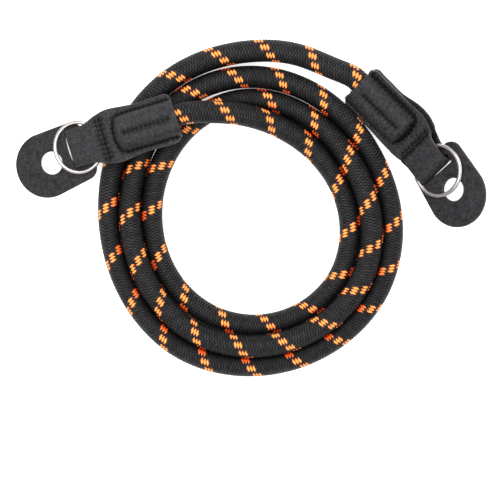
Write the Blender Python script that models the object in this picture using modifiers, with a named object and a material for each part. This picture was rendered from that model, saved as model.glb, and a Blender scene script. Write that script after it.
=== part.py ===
"""Rope camera strap, lying in a flat coil: one braided rope with a sewn leather end,
a split ring and a loose leather pad at each of its two ends.

Metres, +Z up. The ground is at Z = 0. Seen from above, +X is to the right. The origin
lies under the middle of the two leather ends. Each end is built in a frame of its own:
+X runs from the sleeve's mouth towards the ring, on the middle of the rope.
"""

import bpy
import math
import numpy as np
from mathutils import Matrix

# Rope
ROPE_DIAMETER = 0.0089
ROPE_IN_SLEEVE = 0.0240
ROPE_STRAIGHT_PAST_MOUTH = 0.0020
ROPE_STEP_DEG = 15.0
STRAND_GAP = 0.00025
ROPE_SIDES_LEVEL = 4
ROUTE_POINTS_PER_SPAN = 24

# Leather ends
LEATHER = 0.0016
SEWN_GAP = 0.0003
FIT_GAP = 0.0003
GROUND_GAP = 0.0001
SLEEVE_WIDTH = 0.0205
SEAM_SPACING = 0.0156
TONGUE_WIDTH = 0.0156
MIN_FLANGE = 0.0004
LOBE_RISE = 0.0003
MOUTH_CORNER = 0.0020
BEND_START = 0.0010
BEND_LENGTH = 0.0050

# Split rings
RING_DIAMETER = 0.0217
RING_WIRE_WIDTH = 0.0014
RING_WIRE_THICKNESS = 0.0008
RING_COIL_GAP = 0.00015
RING_END_GAP_DEG = 16.0
RING_POINTS_PER_TURN = 24

# Loose pads
PAD_THICKNESS = 0.0016
PAD_WIDTH = 0.0266
PAD_BASE_WIDTH = 0.0248
PAD_BASE_TO_HOLE = 0.0175
PAD_HOLE_TO_TIP = 0.0158
PAD_CORNER = 0.0050
PAD_HOLE_DIAMETER = 0.0094
PAD_HOLE_PAST_FOLD = 0.0098
SLOT_PAST_FOLD = 0.0013
SLOT_END_GAP = 0.0024
SLOT_CORNER = 0.0008
PAD_ROUND_POINTS = 17
PAD_CORNER_POINTS = 6
HOLE_POINTS = 24

# How each end lies. The mouth's place is measured from the coil's middle, and the tongue
# runs from the rope's end to the fold. The pad and the ring sit a little aside in the loop.
COIL_MIDDLE = (0.0010, -0.0303)
ENDS = {
    "left": {
        "mouth": (-0.0308, 0.0430),
        "heading_deg": 196.9,
        "roll_deg": 0.0,
        "flare": 1.0,
        "tongue": 0.0222,
        "ring_pulled_out": 0.0,
        "ring_aside": 0.0006,
        "pad_aside": 0.0022,
        "pad_turn_deg": 6.0,
    },
    "right": {
        "mouth": (0.0441, 0.0566),
        "heading_deg": -44.6,
        "roll_deg": 25.0,
        "flare": 0.5,
        "tongue": 0.0254,
        "ring_pulled_out": 0.0046,
        "ring_aside": 0.0002,
        "pad_aside": 0.0010,
        "pad_turn_deg": -6.0,
    },
}
RIGHT_PITCH_DEG = 21.0

# The coil. Each row is one direction from the coil's middle, in degrees, and then the
# distance of the rope's middle there in the first, second and third turn.
COIL_TURNS = (
    (90, 0.0428, 0.0500, 0.0593),
    (60, 0.0392, 0.0484, 0.0577),
    (30, 0.0388, 0.0473, 0.0558),
    (0, 0.0402, 0.0488, 0.0571),
    (-30, 0.0421, 0.0506, 0.0586),
    (-60, 0.0426, 0.0507, 0.0584),
    (-90, 0.0424, 0.0508, 0.0586),
    (-120, 0.0417, 0.0507, 0.0590),
    (-150, 0.0408, 0.0493, 0.0577),
    (-180, 0.0411, 0.0497, 0.0582),
    (-210, 0.0435, 0.0528, 0.0621),
    (-240, 0.0475, 0.0577, 0.0670),
)
# Lift of the rope's middle off the ground's level, where the first turn comes down.
FIRST_TURN_LIFTS = {90: 0.0058, 60: 0.0010}
# Direction, distance and lift of the stretch that comes out of the left sleeve, and of
# the one that runs into the right sleeve.
FIRST_STRETCH = (
    (110, 0.0474, 0.0100),
    (100, 0.0448, 0.0086),
)
LAST_STRETCH = (
    (90, 0.0698, 0.0),
    (75, 0.0708, 0.0006),
    (60, 0.0712, 0.0023),
)

# The sleeve's half section across, from its middle to the seam: share of the way to the
# seam, and share of the full height of the lobe.
LOBE_PROFILE = (
    (0.00, 0.94),
    (0.14, 0.95),
    (0.32, 1.00),
    (0.50, 0.985),
    (0.67, 0.86),
    (0.82, 0.60),
    (0.93, 0.26),
    (1.00, 0.00),
)
# Share of the flange's width, from the seam to the edge.
FLANGE_STEPS = (0.5, 1.0)
# Along the rope's pocket: share of the rope's length inside, and share of the width.
POCKET_SECTIONS = (
    (0.33, 1.00),
    (0.60, 0.98),
    (0.83, 1.03),
    (1.01, 1.08),
)
# From the rope's end to the fold: share of the way, share of the sleeve's width, share
# of the way to the tongue's width, share of the lobe's height, share of the loop's gap.
TONGUE_SECTIONS = (
    (0.10, 1.09, 0.00, 0.72, 0.00),
    (0.19, 1.08, 0.00, 0.00, 0.00),
    (0.27, 1.06, 0.00, 0.00, 0.00),
    (0.34, 1.03, 0.05, 0.00, 0.55),
    (0.41, 1.00, 0.12, 0.00, 1.00),
    (0.52, 1.00, 0.46, 0.00, 1.00),
    (0.64, 1.00, 0.80, 0.00, 1.00),
    (0.78, 1.00, 1.00, 0.00, 1.00),
    (1.00, 1.00, 1.00, 0.00, 1.00),
)
FOLD_STEPS = 6
# Share of the way from the rope's end to the fold where the loop is open enough for a ring.
LOOP_FREE_SHARE = 0.39

# Heights above the middle of the leather end, worked out from the sizes above
PRESSED_HEIGHT = (SEWN_GAP + LEATHER) / 2
LOBE_HEIGHT = ROPE_DIAMETER / 2 + FIT_GAP + LEATHER / 2 + LOBE_RISE
RING_THICKNESS = 2 * RING_WIRE_THICKNESS + RING_COIL_GAP
LOOP_GAP = PAD_THICKNESS + RING_THICKNESS + 3 * FIT_GAP
LOOP_HEIGHT = (LOOP_GAP + LEATHER) / 2
PAD_MIDDLE_HEIGHT = -LOOP_GAP / 2 + FIT_GAP + PAD_THICKNESS / 2
RING_MIDDLE_HEIGHT = LOOP_GAP / 2 - FIT_GAP - RING_THICKNESS / 2

# Where the leather end bends, from the mouth
BEND_FROM = ROPE_IN_SLEEVE + BEND_START
BEND_TO = BEND_FROM + BEND_LENGTH

MATERIALS = {
    "braided_rope": ((0.030, 0.030, 0.032), 0.80, 0.0),
    "black_leather": ((0.028, 0.028, 0.030), 0.55, 0.0),
    "steel": ((0.72, 0.70, 0.68), 0.22, 1.0),
}


def clear_scene():
    """Remove whatever the file starts with."""
    for thing in list(bpy.data.objects):
        bpy.data.objects.remove(thing, do_unlink=True)


def make_materials():
    """Build one plain material for each finish."""
    made = {}
    for name, (colour, roughness, metallic) in MATERIALS.items():
        material = bpy.data.materials.new(name)
        material.use_nodes = True
        shader = material.node_tree.nodes["Principled BSDF"]
        shader.inputs["Base Color"].default_value = (*colour, 1.0)
        shader.inputs["Roughness"].default_value = roughness
        shader.inputs["Metallic"].default_value = metallic
        made[name] = material
    return made


def add_object(name, data, collection, material, parent=None):
    """Link a new object, give it its material and hang it on its frame."""
    thing = bpy.data.objects.new(name, data)
    collection.objects.link(thing)
    if material:
        data.materials.append(material)
    thing.parent = parent
    return thing


def add_frame(name, collection, location, rotation, parent=None):
    """Add an empty that carries the pieces of one end."""
    frame = bpy.data.objects.new(name, None)
    collection.objects.link(frame)
    frame.location = location
    frame.rotation_euler = rotation
    frame.parent = parent
    return frame


def bend_angle(place, pitch):
    """Slope of the leather end at a place along it, for an upward pitch."""
    return pitch * np.clip((place - BEND_FROM) / BEND_LENGTH, 0.0, 1.0)


def bend_line(place, pitch):
    """Distance along and height of the middle line of a leather end that bends by pitch."""
    if abs(pitch) < 1e-6:
        return place, place * 0.0
    angle = bend_angle(place, pitch)
    radius = BEND_LENGTH / pitch
    beyond = np.maximum(place - BEND_TO, 0.0)
    before = np.minimum(place, BEND_FROM)
    along = before + radius * np.sin(angle) + beyond * math.cos(pitch)
    height = radius * (1.0 - np.cos(angle)) + beyond * math.sin(pitch)
    return along, height


def fold_tip(end):
    """Return the place of the fold's outer face, from the mouth."""
    return ROPE_IN_SLEEVE + end["tongue"]


def fold_middle(end):
    """Return the place about which the tongue folds back."""
    return fold_tip(end) - LOOP_HEIGHT - LEATHER / 2


def hole_place(end):
    """Return the place of the pad's round hole, from the mouth."""
    return fold_tip(end) + PAD_HOLE_PAST_FOLD


def sleeve_sections(end):
    """Return place, half width, lobe share and gap share of each section of the strip."""
    sections = []
    half = SLEEVE_WIDTH / 2
    flare = end["flare"]
    for share in (0.0, 0.15, 0.5, 1.0):
        place = share * MOUTH_CORNER
        cut = MOUTH_CORNER - math.sqrt(MOUTH_CORNER**2 - (MOUTH_CORNER - place)**2)
        sections.append((place, half - cut, 1.0, 0.0))
    for share, width in POCKET_SECTIONS:
        sections.append((share * ROPE_IN_SLEEVE, half * (1 + (width - 1) * flare), 1.0, 0.0))
    length = fold_middle(end) - ROPE_IN_SLEEVE
    for share, width, taper, lobe, gap in TONGUE_SECTIONS:
        place = ROPE_IN_SLEEVE + share * length
        wide = half * (1 + (width - 1) * flare)
        wide += (TONGUE_WIDTH / 2 - wide) * taper
        sections.append((place, wide, lobe, gap))
    return sections


def section_line(half_width, lobe_share, gap_share):
    """Return offsets across and heights of one section's middle line, edge to edge."""
    seam = min(SEAM_SPACING / 2, half_width - MIN_FLANGE)
    flat = PRESSED_HEIGHT + (LOOP_HEIGHT - PRESSED_HEIGHT) * gap_share
    across = [seam * share for share, _ in LOBE_PROFILE]
    height = [flat + (LOBE_HEIGHT - PRESSED_HEIGHT) * rise * lobe_share for _, rise in LOBE_PROFILE]
    for share in FLANGE_STEPS:
        across.append(seam + (half_width - seam) * share)
        height.append(flat)
    across = np.array(across)
    height = np.array(height)
    return np.concatenate((-across[:0:-1], across)), np.concatenate((height[:0:-1], height))


def strip_rows(end, pitch):
    """Return the folded strip's middle surface, row by row from one mouth edge to the other."""
    sections = sleeve_sections(end)
    rows = []
    for place, half_width, lobe, gap in sections:
        across, height = section_line(half_width, lobe, gap)
        rows.append((np.full(len(across), place), across, height))
    across, height = section_line(*sections[-1][1:])
    for step in range(1, FOLD_STEPS):
        turn = math.pi * step / FOLD_STEPS
        place = fold_middle(end) + LOOP_HEIGHT * math.sin(turn)
        rows.append((np.full(len(across), place), across, np.full(len(across), LOOP_HEIGHT * math.cos(turn))))
    for place, half_width, lobe, gap in reversed(sections):
        across, height = section_line(half_width, lobe, gap)
        rows.append((np.full(len(across), place), across, -height))
    bent = []
    for place, across, height in rows:
        angle = bend_angle(place, pitch)
        along, rise = bend_line(place, pitch)
        bent.append(np.stack((along - height * np.sin(angle), across, rise + height * np.cos(angle)), axis=1))
    return np.array(bent)


def make_sleeve(name, end, pitch, collection, material, parent):
    """Make the folded leather strip: a lofted middle surface with a leather's thickness."""
    grid = strip_rows(end, pitch)
    count_along, count_across = grid.shape[:2]
    faces = []
    for row in range(count_along - 1):
        for column in range(count_across - 1):
            corner = row * count_across + column
            faces.append((corner, corner + 1, corner + count_across + 1, corner + count_across))
    mesh = bpy.data.meshes.new(name)
    mesh.from_pydata(grid.reshape(-1, 3).tolist(), [], faces)
    mesh.update()
    sleeve = add_object(name, mesh, collection, material, parent)
    wall = sleeve.modifiers.new("leather", "SOLIDIFY")
    wall.thickness = LEATHER
    wall.offset = 0.0
    wall.use_even_offset = True
    wall.use_rim = True
    mesh.shade_smooth()
    return sleeve


def closed_spline(curve, points):
    """Add one closed outline to a flat curve."""
    spline = curve.splines.new("POLY")
    spline.points.add(len(points) - 1)
    for point, (x, y) in zip(spline.points, points):
        point.co = (x, y, 0.0, 1.0)
    spline.use_cyclic_u = True


def arc_points(middle, radius, from_deg, to_deg, count):
    """Return points along an arc, both ends included."""
    angles = np.radians(np.linspace(from_deg, to_deg, count))
    return [(middle[0] + radius * math.cos(a), middle[1] + radius * math.sin(a)) for a in angles]


def pad_outline():
    """Return the pad's outline about its hole: round far end, sides that close in to the base."""
    round_middle = (PAD_HOLE_TO_TIP - PAD_WIDTH / 2, 0.0)
    base = -PAD_BASE_TO_HOLE
    side = PAD_BASE_WIDTH / 2
    outline = arc_points(round_middle, PAD_WIDTH / 2, -90, 90, PAD_ROUND_POINTS)
    outline += arc_points((base + PAD_CORNER, side - PAD_CORNER), PAD_CORNER, 90, 180, PAD_CORNER_POINTS)
    outline += arc_points((base + PAD_CORNER, -side + PAD_CORNER), PAD_CORNER, 180, 270, PAD_CORNER_POINTS)
    return outline


def slot_reach():
    """Return the slot's inner and outer edge, from the hole."""
    swing = TONGUE_WIDTH / 2 * max(abs(math.sin(math.radians(end["pad_turn_deg"]))) for end in ENDS.values())
    low = LOOP_GAP / 2 - FIT_GAP
    inner = math.sqrt((LOOP_GAP / 2)**2 - low**2) - LOOP_HEIGHT - LEATHER / 2 - FIT_GAP - swing
    return inner - PAD_HOLE_PAST_FOLD, SLOT_PAST_FOLD - PAD_HOLE_PAST_FOLD


def slot_outline():
    """Return the outline of the slot that the tongue's loop goes through."""
    inner, outer = slot_reach()
    half = TONGUE_WIDTH / 2 + SLOT_END_GAP
    slot = arc_points((outer - SLOT_CORNER, half - SLOT_CORNER), SLOT_CORNER, 0, 90, 4)
    slot += arc_points((inner + SLOT_CORNER, half - SLOT_CORNER), SLOT_CORNER, 90, 180, 4)
    slot += arc_points((inner + SLOT_CORNER, -half + SLOT_CORNER), SLOT_CORNER, 180, 270, 4)
    slot += arc_points((outer - SLOT_CORNER, -half + SLOT_CORNER), SLOT_CORNER, 270, 360, 4)
    return slot


def make_pad(name, end, collection, material, parent):
    """Make the loose pad, a flat outline with its round hole and its slot cut through."""
    curve = bpy.data.curves.new(name, "CURVE")
    curve.dimensions = "2D"
    curve.fill_mode = "BOTH"
    curve.extrude = PAD_THICKNESS / 2
    closed_spline(curve, pad_outline())
    last = 360 - 360 / HOLE_POINTS
    closed_spline(curve, arc_points((0.0, 0.0), PAD_HOLE_DIAMETER / 2, 0, last, HOLE_POINTS))
    closed_spline(curve, slot_outline())
    pad = add_object(name, curve, collection, material, parent)
    # The pad turns about the middle of its slot, where the tongue holds it.
    slot_middle = sum(slot_reach()) / 2
    pivot = hole_place(end) + slot_middle - BEND_TO
    turn = math.radians(end["pad_turn_deg"])
    along = pivot - slot_middle * math.cos(turn)
    aside = end["pad_aside"] - slot_middle * math.sin(turn)
    pad.location = (along, aside, PAD_MIDDLE_HEIGHT)
    pad.rotation_euler = (0.0, 0.0, turn)
    return pad


def make_wire_profile(collection):
    """Make the flat wire's section, which guides both rings and is no piece itself."""
    half_width = RING_WIRE_WIDTH / 2
    half_thick = RING_WIRE_THICKNESS / 2
    bevel = RING_WIRE_THICKNESS / 4
    corners = [
        (half_width, half_thick - bevel),
        (half_width - bevel, half_thick),
        (-half_width + bevel, half_thick),
        (-half_width, half_thick - bevel),
        (-half_width, -half_thick + bevel),
        (-half_width + bevel, -half_thick),
        (half_width - bevel, -half_thick),
        (half_width, -half_thick + bevel),
    ]
    curve = bpy.data.curves.new("wire_section", "CURVE")
    curve.dimensions = "2D"
    curve.fill_mode = "NONE"
    closed_spline(curve, corners[::-1])
    profile = add_object("wire_section", curve, collection, None)
    profile.hide_render = True
    profile.display_type = "WIRE"
    return profile


def ring_place(end):
    """Return the place of the ring's middle: clear of the closed loop and round the fold's corners."""
    loop_from = ROPE_IN_SLEEVE + LOOP_FREE_SHARE * (fold_middle(end) - ROPE_IN_SLEEVE)
    inner = RING_DIAMETER / 2 - RING_WIRE_WIDTH
    corner = TONGUE_WIDTH / 2 + abs(end["ring_aside"])
    round_fold = fold_tip(end) + FIT_GAP - math.sqrt(max(inner**2 - corner**2, 0.0))
    return max(loop_from + RING_DIAMETER / 2, round_fold) + end["ring_pulled_out"]


def make_ring(name, end, profile, collection, material, parent):
    """Make the split ring: flat wire wound twice, with a step where it changes level."""
    radius = (RING_DIAMETER - RING_WIRE_WIDTH) / 2
    level = (RING_WIRE_THICKNESS + RING_COIL_GAP) / 2
    start = RING_END_GAP_DEG
    count = 2 * RING_POINTS_PER_TURN
    turned = np.linspace(start, 720.0 - start, count)
    climb = np.clip((turned - 360.0 + start) / (2 * start), 0.0, 1.0)
    height = level * (2.0 * climb * climb * (3.0 - 2.0 * climb) - 1.0)
    angles = np.radians(turned + 90.0)
    curve = bpy.data.curves.new(name, "CURVE")
    curve.dimensions = "3D"
    curve.twist_mode = "Z_UP"
    curve.bevel_mode = "OBJECT"
    curve.bevel_object = profile
    curve.use_fill_caps = True
    spline = curve.splines.new("POLY")
    spline.points.add(count - 1)
    for point, angle, z in zip(spline.points, angles, height):
        point.co = (radius * math.cos(angle), radius * math.sin(angle), z, 1.0)
    ring = add_object(name, curve, collection, material, parent)
    ring.location = (ring_place(end) - BEND_TO, end["ring_aside"], RING_MIDDLE_HEIGHT)
    return ring


def lowest_reach(roll):
    """Return how far a sleeve's section, rolled about the rope, reaches below the rope's middle."""
    width = SLEEVE_WIDTH / 2 * max(share for _, share in POCKET_SECTIONS)
    across, height = section_line(width, 1.0, 0.0)
    outer = height + LEATHER / 2
    return float(np.max(np.abs(across) * math.sin(abs(roll)) + outer * math.cos(roll)))


def pitch_to_ground(end, height):
    """Return the downward pitch that lays the pad's far edge on the ground."""
    reach = hole_place(end) + PAD_HOLE_TO_TIP - (BEND_FROM + BEND_TO) / 2
    under = PAD_MIDDLE_HEIGHT - PAD_THICKNESS / 2
    slant = math.hypot(reach, under)
    return -math.asin((height - GROUND_GAP) / slant) - math.atan2(under, reach)


def make_end(side, height, pitch, profile, collection, materials):
    """Make the sleeve, ring and pad of one end of the strap."""
    end = ENDS[side]
    place = (COIL_MIDDLE[0] + end["mouth"][0], COIL_MIDDLE[1] + end["mouth"][1], height)
    turn = (math.radians(end["roll_deg"]), 0.0, math.radians(end["heading_deg"]))
    frame = add_frame(side + "_end_frame", collection, place, turn)
    along, rise = bend_line(np.float64(BEND_TO), pitch)
    loop_frame = add_frame(side + "_loop_frame", collection, (along, 0.0, rise), (0.0, -pitch, 0.0), frame)
    make_sleeve(side + "_sleeve", end, pitch, collection, materials["black_leather"], frame)
    make_ring(side + "_ring", end, profile, collection, materials["steel"], loop_frame)
    make_pad(side + "_pad", end, collection, materials["black_leather"], loop_frame)


def smooth_curve(points, per_span):
    """Return a curve through all points: natural cubic pieces along the summed chord length."""
    points = np.asarray(points, dtype=float)
    chord = np.linalg.norm(np.diff(points, axis=0), axis=1)
    knots = np.concatenate(([0.0], np.cumsum(chord)))
    count = len(points)
    system = np.eye(count)
    target = np.zeros_like(points)
    inner = np.arange(1, count - 1)
    system[inner, inner - 1] = chord[:-1]
    system[inner, inner] = 2.0 * (chord[:-1] + chord[1:])
    system[inner, inner + 1] = chord[1:]
    slope = np.diff(points, axis=0) / chord[:, None]
    target[1:-1] = 6.0 * np.diff(slope, axis=0)
    bending = np.linalg.solve(system, target)
    share = np.linspace(0.0, 1.0, per_span, endpoint=False)
    at = np.concatenate([knots[:-1, None] + share * chord[:, None]]).ravel()
    at = np.append(at, knots[-1])
    span = np.clip(np.searchsorted(knots, at, side="right") - 1, 0, count - 2)
    after = (at - knots[span])[:, None]
    before = (knots[span + 1] - at)[:, None]
    width = chord[span][:, None]
    curve = (bending[span] * before**3 + bending[span + 1] * after**3) / (6.0 * width)
    curve += (points[span] / width - bending[span] * width / 6.0) * before
    curve += (points[span + 1] / width - bending[span + 1] * width / 6.0) * after
    return curve


def coil_point(direction_deg, distance, lift):
    """Return the place of the rope's middle, from a direction and distance about the coil."""
    angle = math.radians(direction_deg)
    x = COIL_MIDDLE[0] + distance * math.cos(angle)
    y = COIL_MIDDLE[1] + distance * math.sin(angle)
    return (x, y, ROPE_DIAMETER / 2 + lift)


def sleeve_points(side, height, depths):
    """Return places on the middle of a sleeve, at given depths inside its mouth."""
    end = ENDS[side]
    angle = math.radians(end["heading_deg"])
    x = COIL_MIDDLE[0] + end["mouth"][0]
    y = COIL_MIDDLE[1] + end["mouth"][1]
    return [(x + depth * math.cos(angle), y + depth * math.sin(angle), height) for depth in depths]


def squeezed_lift(direction_deg, inner, middle, outer):
    """Return how far the middle turn rides up where its neighbours leave it too little room."""
    if direction_deg in FIRST_TURN_LIFTS:
        inner = -outer
    room = min(middle - inner, outer - middle) * math.cos(math.radians(ROPE_STEP_DEG / 2))
    clear = ROPE_DIAMETER + STRAND_GAP
    return math.sqrt(max(clear**2 - room**2, 0.0))


def coil_route():
    """Return the places of the rope's middle in the coil's three turns."""
    first = [coil_point(row[0], row[1], FIRST_TURN_LIFTS.get(row[0], 0.0)) for row in COIL_TURNS]
    second = [coil_point(row[0], row[2], squeezed_lift(*row)) for row in COIL_TURNS]
    third = [coil_point(row[0], row[3], 0.0) for row in COIL_TURNS]
    return first + second + third


def rope_points(left_height, right_height):
    """Return the rope's points: straight in the sleeves, one for each step round the coil."""
    depths = (0.5 * ROPE_IN_SLEEVE, 0.0, -ROPE_STRAIGHT_PAST_MOUTH)
    route = sleeve_points("left", left_height, depths)
    route += [coil_point(*row) for row in FIRST_STRETCH]
    route += coil_route()
    route += [coil_point(*row) for row in LAST_STRETCH]
    route += sleeve_points("right", right_height, depths[::-1])
    curve = smooth_curve(route, ROUTE_POINTS_PER_SPAN)
    curve[:, 2] = np.maximum(curve[:, 2], ROPE_DIAMETER / 2)
    aside = curve[:, :2] - np.array(COIL_MIDDLE)
    turned = -np.degrees(np.unwrap(np.arctan2(aside[:, 1], aside[:, 0])))
    first = math.ceil(turned[0] / ROPE_STEP_DEG + 1.25) * ROPE_STEP_DEG
    steps = np.arange(first, turned[-1] - 1.25 * ROPE_STEP_DEG, ROPE_STEP_DEG)
    middle = np.stack([np.interp(steps, turned, curve[:, axis]) for axis in range(3)], axis=1)
    straight = (ROPE_IN_SLEEVE, -ROPE_STRAIGHT_PAST_MOUTH)
    left = sleeve_points("left", left_height, straight)
    right = sleeve_points("right", right_height, straight[::-1])
    return np.concatenate((left, middle, right))


def make_rope(left_height, right_height, collection, material):
    """Make the rope, a round tube from its end in one sleeve to its end in the other."""
    points = rope_points(left_height, right_height)
    curve = bpy.data.curves.new("rope", "CURVE")
    curve.dimensions = "3D"
    curve.twist_mode = "Z_UP"
    curve.bevel_depth = ROPE_DIAMETER / 2
    curve.bevel_resolution = ROPE_SIDES_LEVEL
    curve.use_fill_caps = True
    spline = curve.splines.new("POLY")
    spline.points.add(len(points) - 1)
    for point, place in zip(spline.points, points):
        point.co = (*place, 1.0)
    return add_object("rope", curve, collection, material)


def main():
    clear_scene()
    materials = make_materials()
    strap = bpy.data.collections.new("rope_camera_strap")
    guides = bpy.data.collections.new("guides")
    bpy.context.scene.collection.children.link(strap)
    bpy.context.scene.collection.children.link(guides)
    profile = make_wire_profile(guides)

    # The left end lies on top of the coil, and its pad slopes down to the ground.
    left_height = ROPE_DIAMETER + FIT_GAP + lowest_reach(0.0)
    left_pitch = pitch_to_ground(ENDS["left"], left_height)
    make_end("left", left_height, left_pitch, profile, strap, materials)
    # The right end lies on the ground, rolled about the rope, with its pad turned up.
    right_height = GROUND_GAP + lowest_reach(math.radians(ENDS["right"]["roll_deg"]))
    right_pitch = math.radians(RIGHT_PITCH_DEG)
    make_end("right", right_height, right_pitch, profile, strap, materials)
    make_rope(left_height, right_height, strap, materials["braided_rope"])
    bpy.context.view_layer.update()


main()
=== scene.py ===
"""Rope camera strap: the looks of a coiled, braided rope strap with sewn leather ends,
split rings and loose leather pads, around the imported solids.

Metres, +Z up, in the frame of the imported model. The ground is at Z = 0.
"""

import math

import bpy
import numpy as np
from bpy.props import FloatProperty, FloatVectorProperty, IntProperty, PointerProperty
from mathutils import Euler, Matrix
from mathutils.geometry import delaunay_2d_cdt


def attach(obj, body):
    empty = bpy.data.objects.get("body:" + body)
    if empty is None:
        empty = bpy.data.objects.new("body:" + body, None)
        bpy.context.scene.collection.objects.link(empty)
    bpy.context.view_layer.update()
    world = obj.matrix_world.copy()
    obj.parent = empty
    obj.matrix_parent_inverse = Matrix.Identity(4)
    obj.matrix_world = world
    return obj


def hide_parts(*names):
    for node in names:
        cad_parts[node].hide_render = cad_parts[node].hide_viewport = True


bl_info = {
    "name": "Rope Camera Strap",
    "version": (1, 0, 0),
    "blender": (4, 5, 0),
    "location": "View3D > Sidebar > Strap",
    "description": "Builds a coiled rope camera strap with leather ends, rings and pads",
    "category": "Object",
}

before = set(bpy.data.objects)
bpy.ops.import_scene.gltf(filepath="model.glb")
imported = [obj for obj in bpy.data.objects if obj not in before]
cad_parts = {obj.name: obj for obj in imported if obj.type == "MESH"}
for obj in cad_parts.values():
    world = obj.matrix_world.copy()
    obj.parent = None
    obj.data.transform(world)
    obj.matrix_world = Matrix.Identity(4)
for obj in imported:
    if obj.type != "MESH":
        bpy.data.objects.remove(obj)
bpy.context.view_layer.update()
BODY = "root"

# Rope
ROPE_DIAMETER = 0.0089
ROPE_IN_SLEEVE = 0.0240
ROPE_STRAIGHT_PAST_MOUTH = 0.0020
ROPE_STEP_DEG = 15.0
STRAND_GAP = 0.00025
ROUTE_POINTS_PER_SPAN = 40
CORE_SHARE = 0.90
CORE_STEP = 0.006

# Braid
CARRIERS = 16
FIRST_ROW = 0.0781
FLOAT_SLANT = 0.42
FLOAT_REACH = 0.92
DOME_POWER = 0.4
ARCH_POWER = 0.35
CELLS_PER_WINDING = 64
SIDES = 56
# Painted shade between turns of the rope: how far it reaches from the other turn, and how far along
# the rope another turn starts
CREVICE_REACH = 0.0037
OTHER_TURN_FROM = 0.060

# Leather ends
LEATHER = 0.0016
SEWN_GAP = 0.0003
FIT_GAP = 0.0003
GROUND_GAP = 0.0001
SLEEVE_WIDTH = 0.0205
SEAM_SPACING = 0.0156
TONGUE_WIDTH = 0.0156
LOBE_RISE = 0.0003
MOUTH_CORNER = 0.0030
BEND_START = 0.0010
BEND_LENGTH = 0.0050

# Split rings
RING_DIAMETER = 0.0217
RING_WIRE_WIDTH = 0.0014
RING_WIRE_THICKNESS = 0.0008
RING_COIL_GAP = 0.00015
RING_END_GAP_DEG = 16.0
RING_POINTS = 260
RING_SIDES = 24
WIRE_POWER = 2.4
WIRE_END_SHARE = 0.55

# Loose pads
PAD_THICKNESS = 0.0016
PAD_WIDTH = 0.0266
PAD_BASE_WIDTH = 0.0248
PAD_BASE_TO_HOLE = 0.0175
PAD_HOLE_TO_TIP = 0.0158
PAD_CORNER = 0.0050
PAD_EDGE_ROUND = 0.00045
PAD_NET_STEP = 0.0011
PAD_HOLE_DIAMETER = 0.0094
PAD_HOLE_PAST_FOLD = 0.0098
SLOT_PAST_FOLD = 0.0013
SLOT_CORNER = 0.0008
SHOWN_SLOT_PAST_FOLD = 0.0001
SHOWN_SLOT_END_GAP = 0.00002

# How the left end and the right one lie. Places along an end are from its mouth.
END_VALUES = {
    "mouth": ((-0.0308, 0.0430), (0.0441, 0.0566)),
    "heading_deg": (196.9, -44.6),
    "roll_deg": (0.0, 25.0),
    "flare": (1.0, 0.5),
    "tongue": (0.0222, 0.0254),
    "ring_pulled_out": (0.0, 0.0046),
    "ring_aside": (0.0006, 0.0002),
    "pad_aside": (0.0022, 0.0010),
    "pad_turn_deg": (6.0, -6.0),
    "slot_turn_deg": (0.5, -3.2),
    "slot_bow": (0.0013, 0.0),
    "edge_shift": (0.0005, -0.0009),
    "seam_shift": (0.0006, -0.0008),
    "side_seam": ((0.0012, 0.0236), (0.0008, 0.0258)),
    "middle_seam": ((0.0030, 0.0230), (0.0040, 0.0240)),
    "middle_spread": (1.25, 1.1),
    "end_seam": ((0.0246, 0.0262), (0.0264, 0.0287)),
    "tacks": ((0.0300, 0.0314), (0.0335, 0.0352)),
    "tack_half_width": (0.0088, 0.0078),
    "loop_from": (0.0288, 0.0344),
    "under_reach": (0.0, 0.0012),
}
ENDS = {
    side: {name: pair[column] for name, pair in END_VALUES.items()}
    for column, side in enumerate(("left", "right"))
}
RIGHT_PITCH_DEG = 21.0

# The coil: direction from its middle, in degrees, and the distance of the rope's middle
# there in the first, second and third turn.
COIL_MIDDLE = (0.0010, -0.0303)
COIL_TURNS = (
    (90, 0.0428, 0.0500, 0.0593),
    (60, 0.0392, 0.0484, 0.0577),
    (30, 0.0388, 0.0473, 0.0558),
    (0, 0.0402, 0.0488, 0.0571),
    (-30, 0.0421, 0.0506, 0.0586),
    (-60, 0.0426, 0.0507, 0.0584),
    (-90, 0.0424, 0.0508, 0.0586),
    (-120, 0.0417, 0.0507, 0.0590),
    (-150, 0.0408, 0.0493, 0.0577),
    (-180, 0.0411, 0.0497, 0.0582),
    (-210, 0.0435, 0.0528, 0.0621),
    (-240, 0.0475, 0.0577, 0.0670),
)
# Before and after the turns: direction, distance and how far it is lifted off the ground
FIRST_TURN_LIFTS = {90: 0.0058, 60: 0.0010}
FIRST_STRETCH = ((110, 0.0474, 0.0100), (100, 0.0448, 0.0086))
LAST_STRETCH = ((90, 0.0698, 0.0), (75, 0.0708, 0.0006), (60, 0.0712, 0.0023))
# The orange tracer: how far round the coil, in degrees from +X and clockwise, and how many
# times it has wound round the rope by there. At a whole number it is on top.
TRACER_WINDINGS = (
    (-124.5, 0), (-54.0, 3), (31.0, 6), (105.5, 9), (186.5, 12), (256.0, 15), (350.5, 19),
    (414.5, 22), (477.0, 25), (543.5, 28), (605.5, 31), (660.5, 34), (721.5, 37), (775.0, 40),
    (829.5, 43), (886.5, 46), (962.0, 50), (1011.0, 53), (1026.5, 54),
)
# How far the whole braid is twisted about the rope, in degrees from its top towards the left
# of the way on: how far round the coil, and the twist there.
BRAID_TWIST = (
    (-130.0, -5.0), (105.0, -6.0), (128.0, -12.0), (165.0, -18.0), (237.0, -27.0),
    (280.0, -35.0), (304.0, -34.0), (350.0, -27.0), (372.0, -25.0), (543.0, -20.0),
    (563.0, -25.0), (622.0, -32.0), (650.0, -37.0), (700.0, -35.0), (746.0, -37.0),
    (775.0, -43.0), (830.0, -45.0), (1030.0, -46.0),
)
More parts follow.
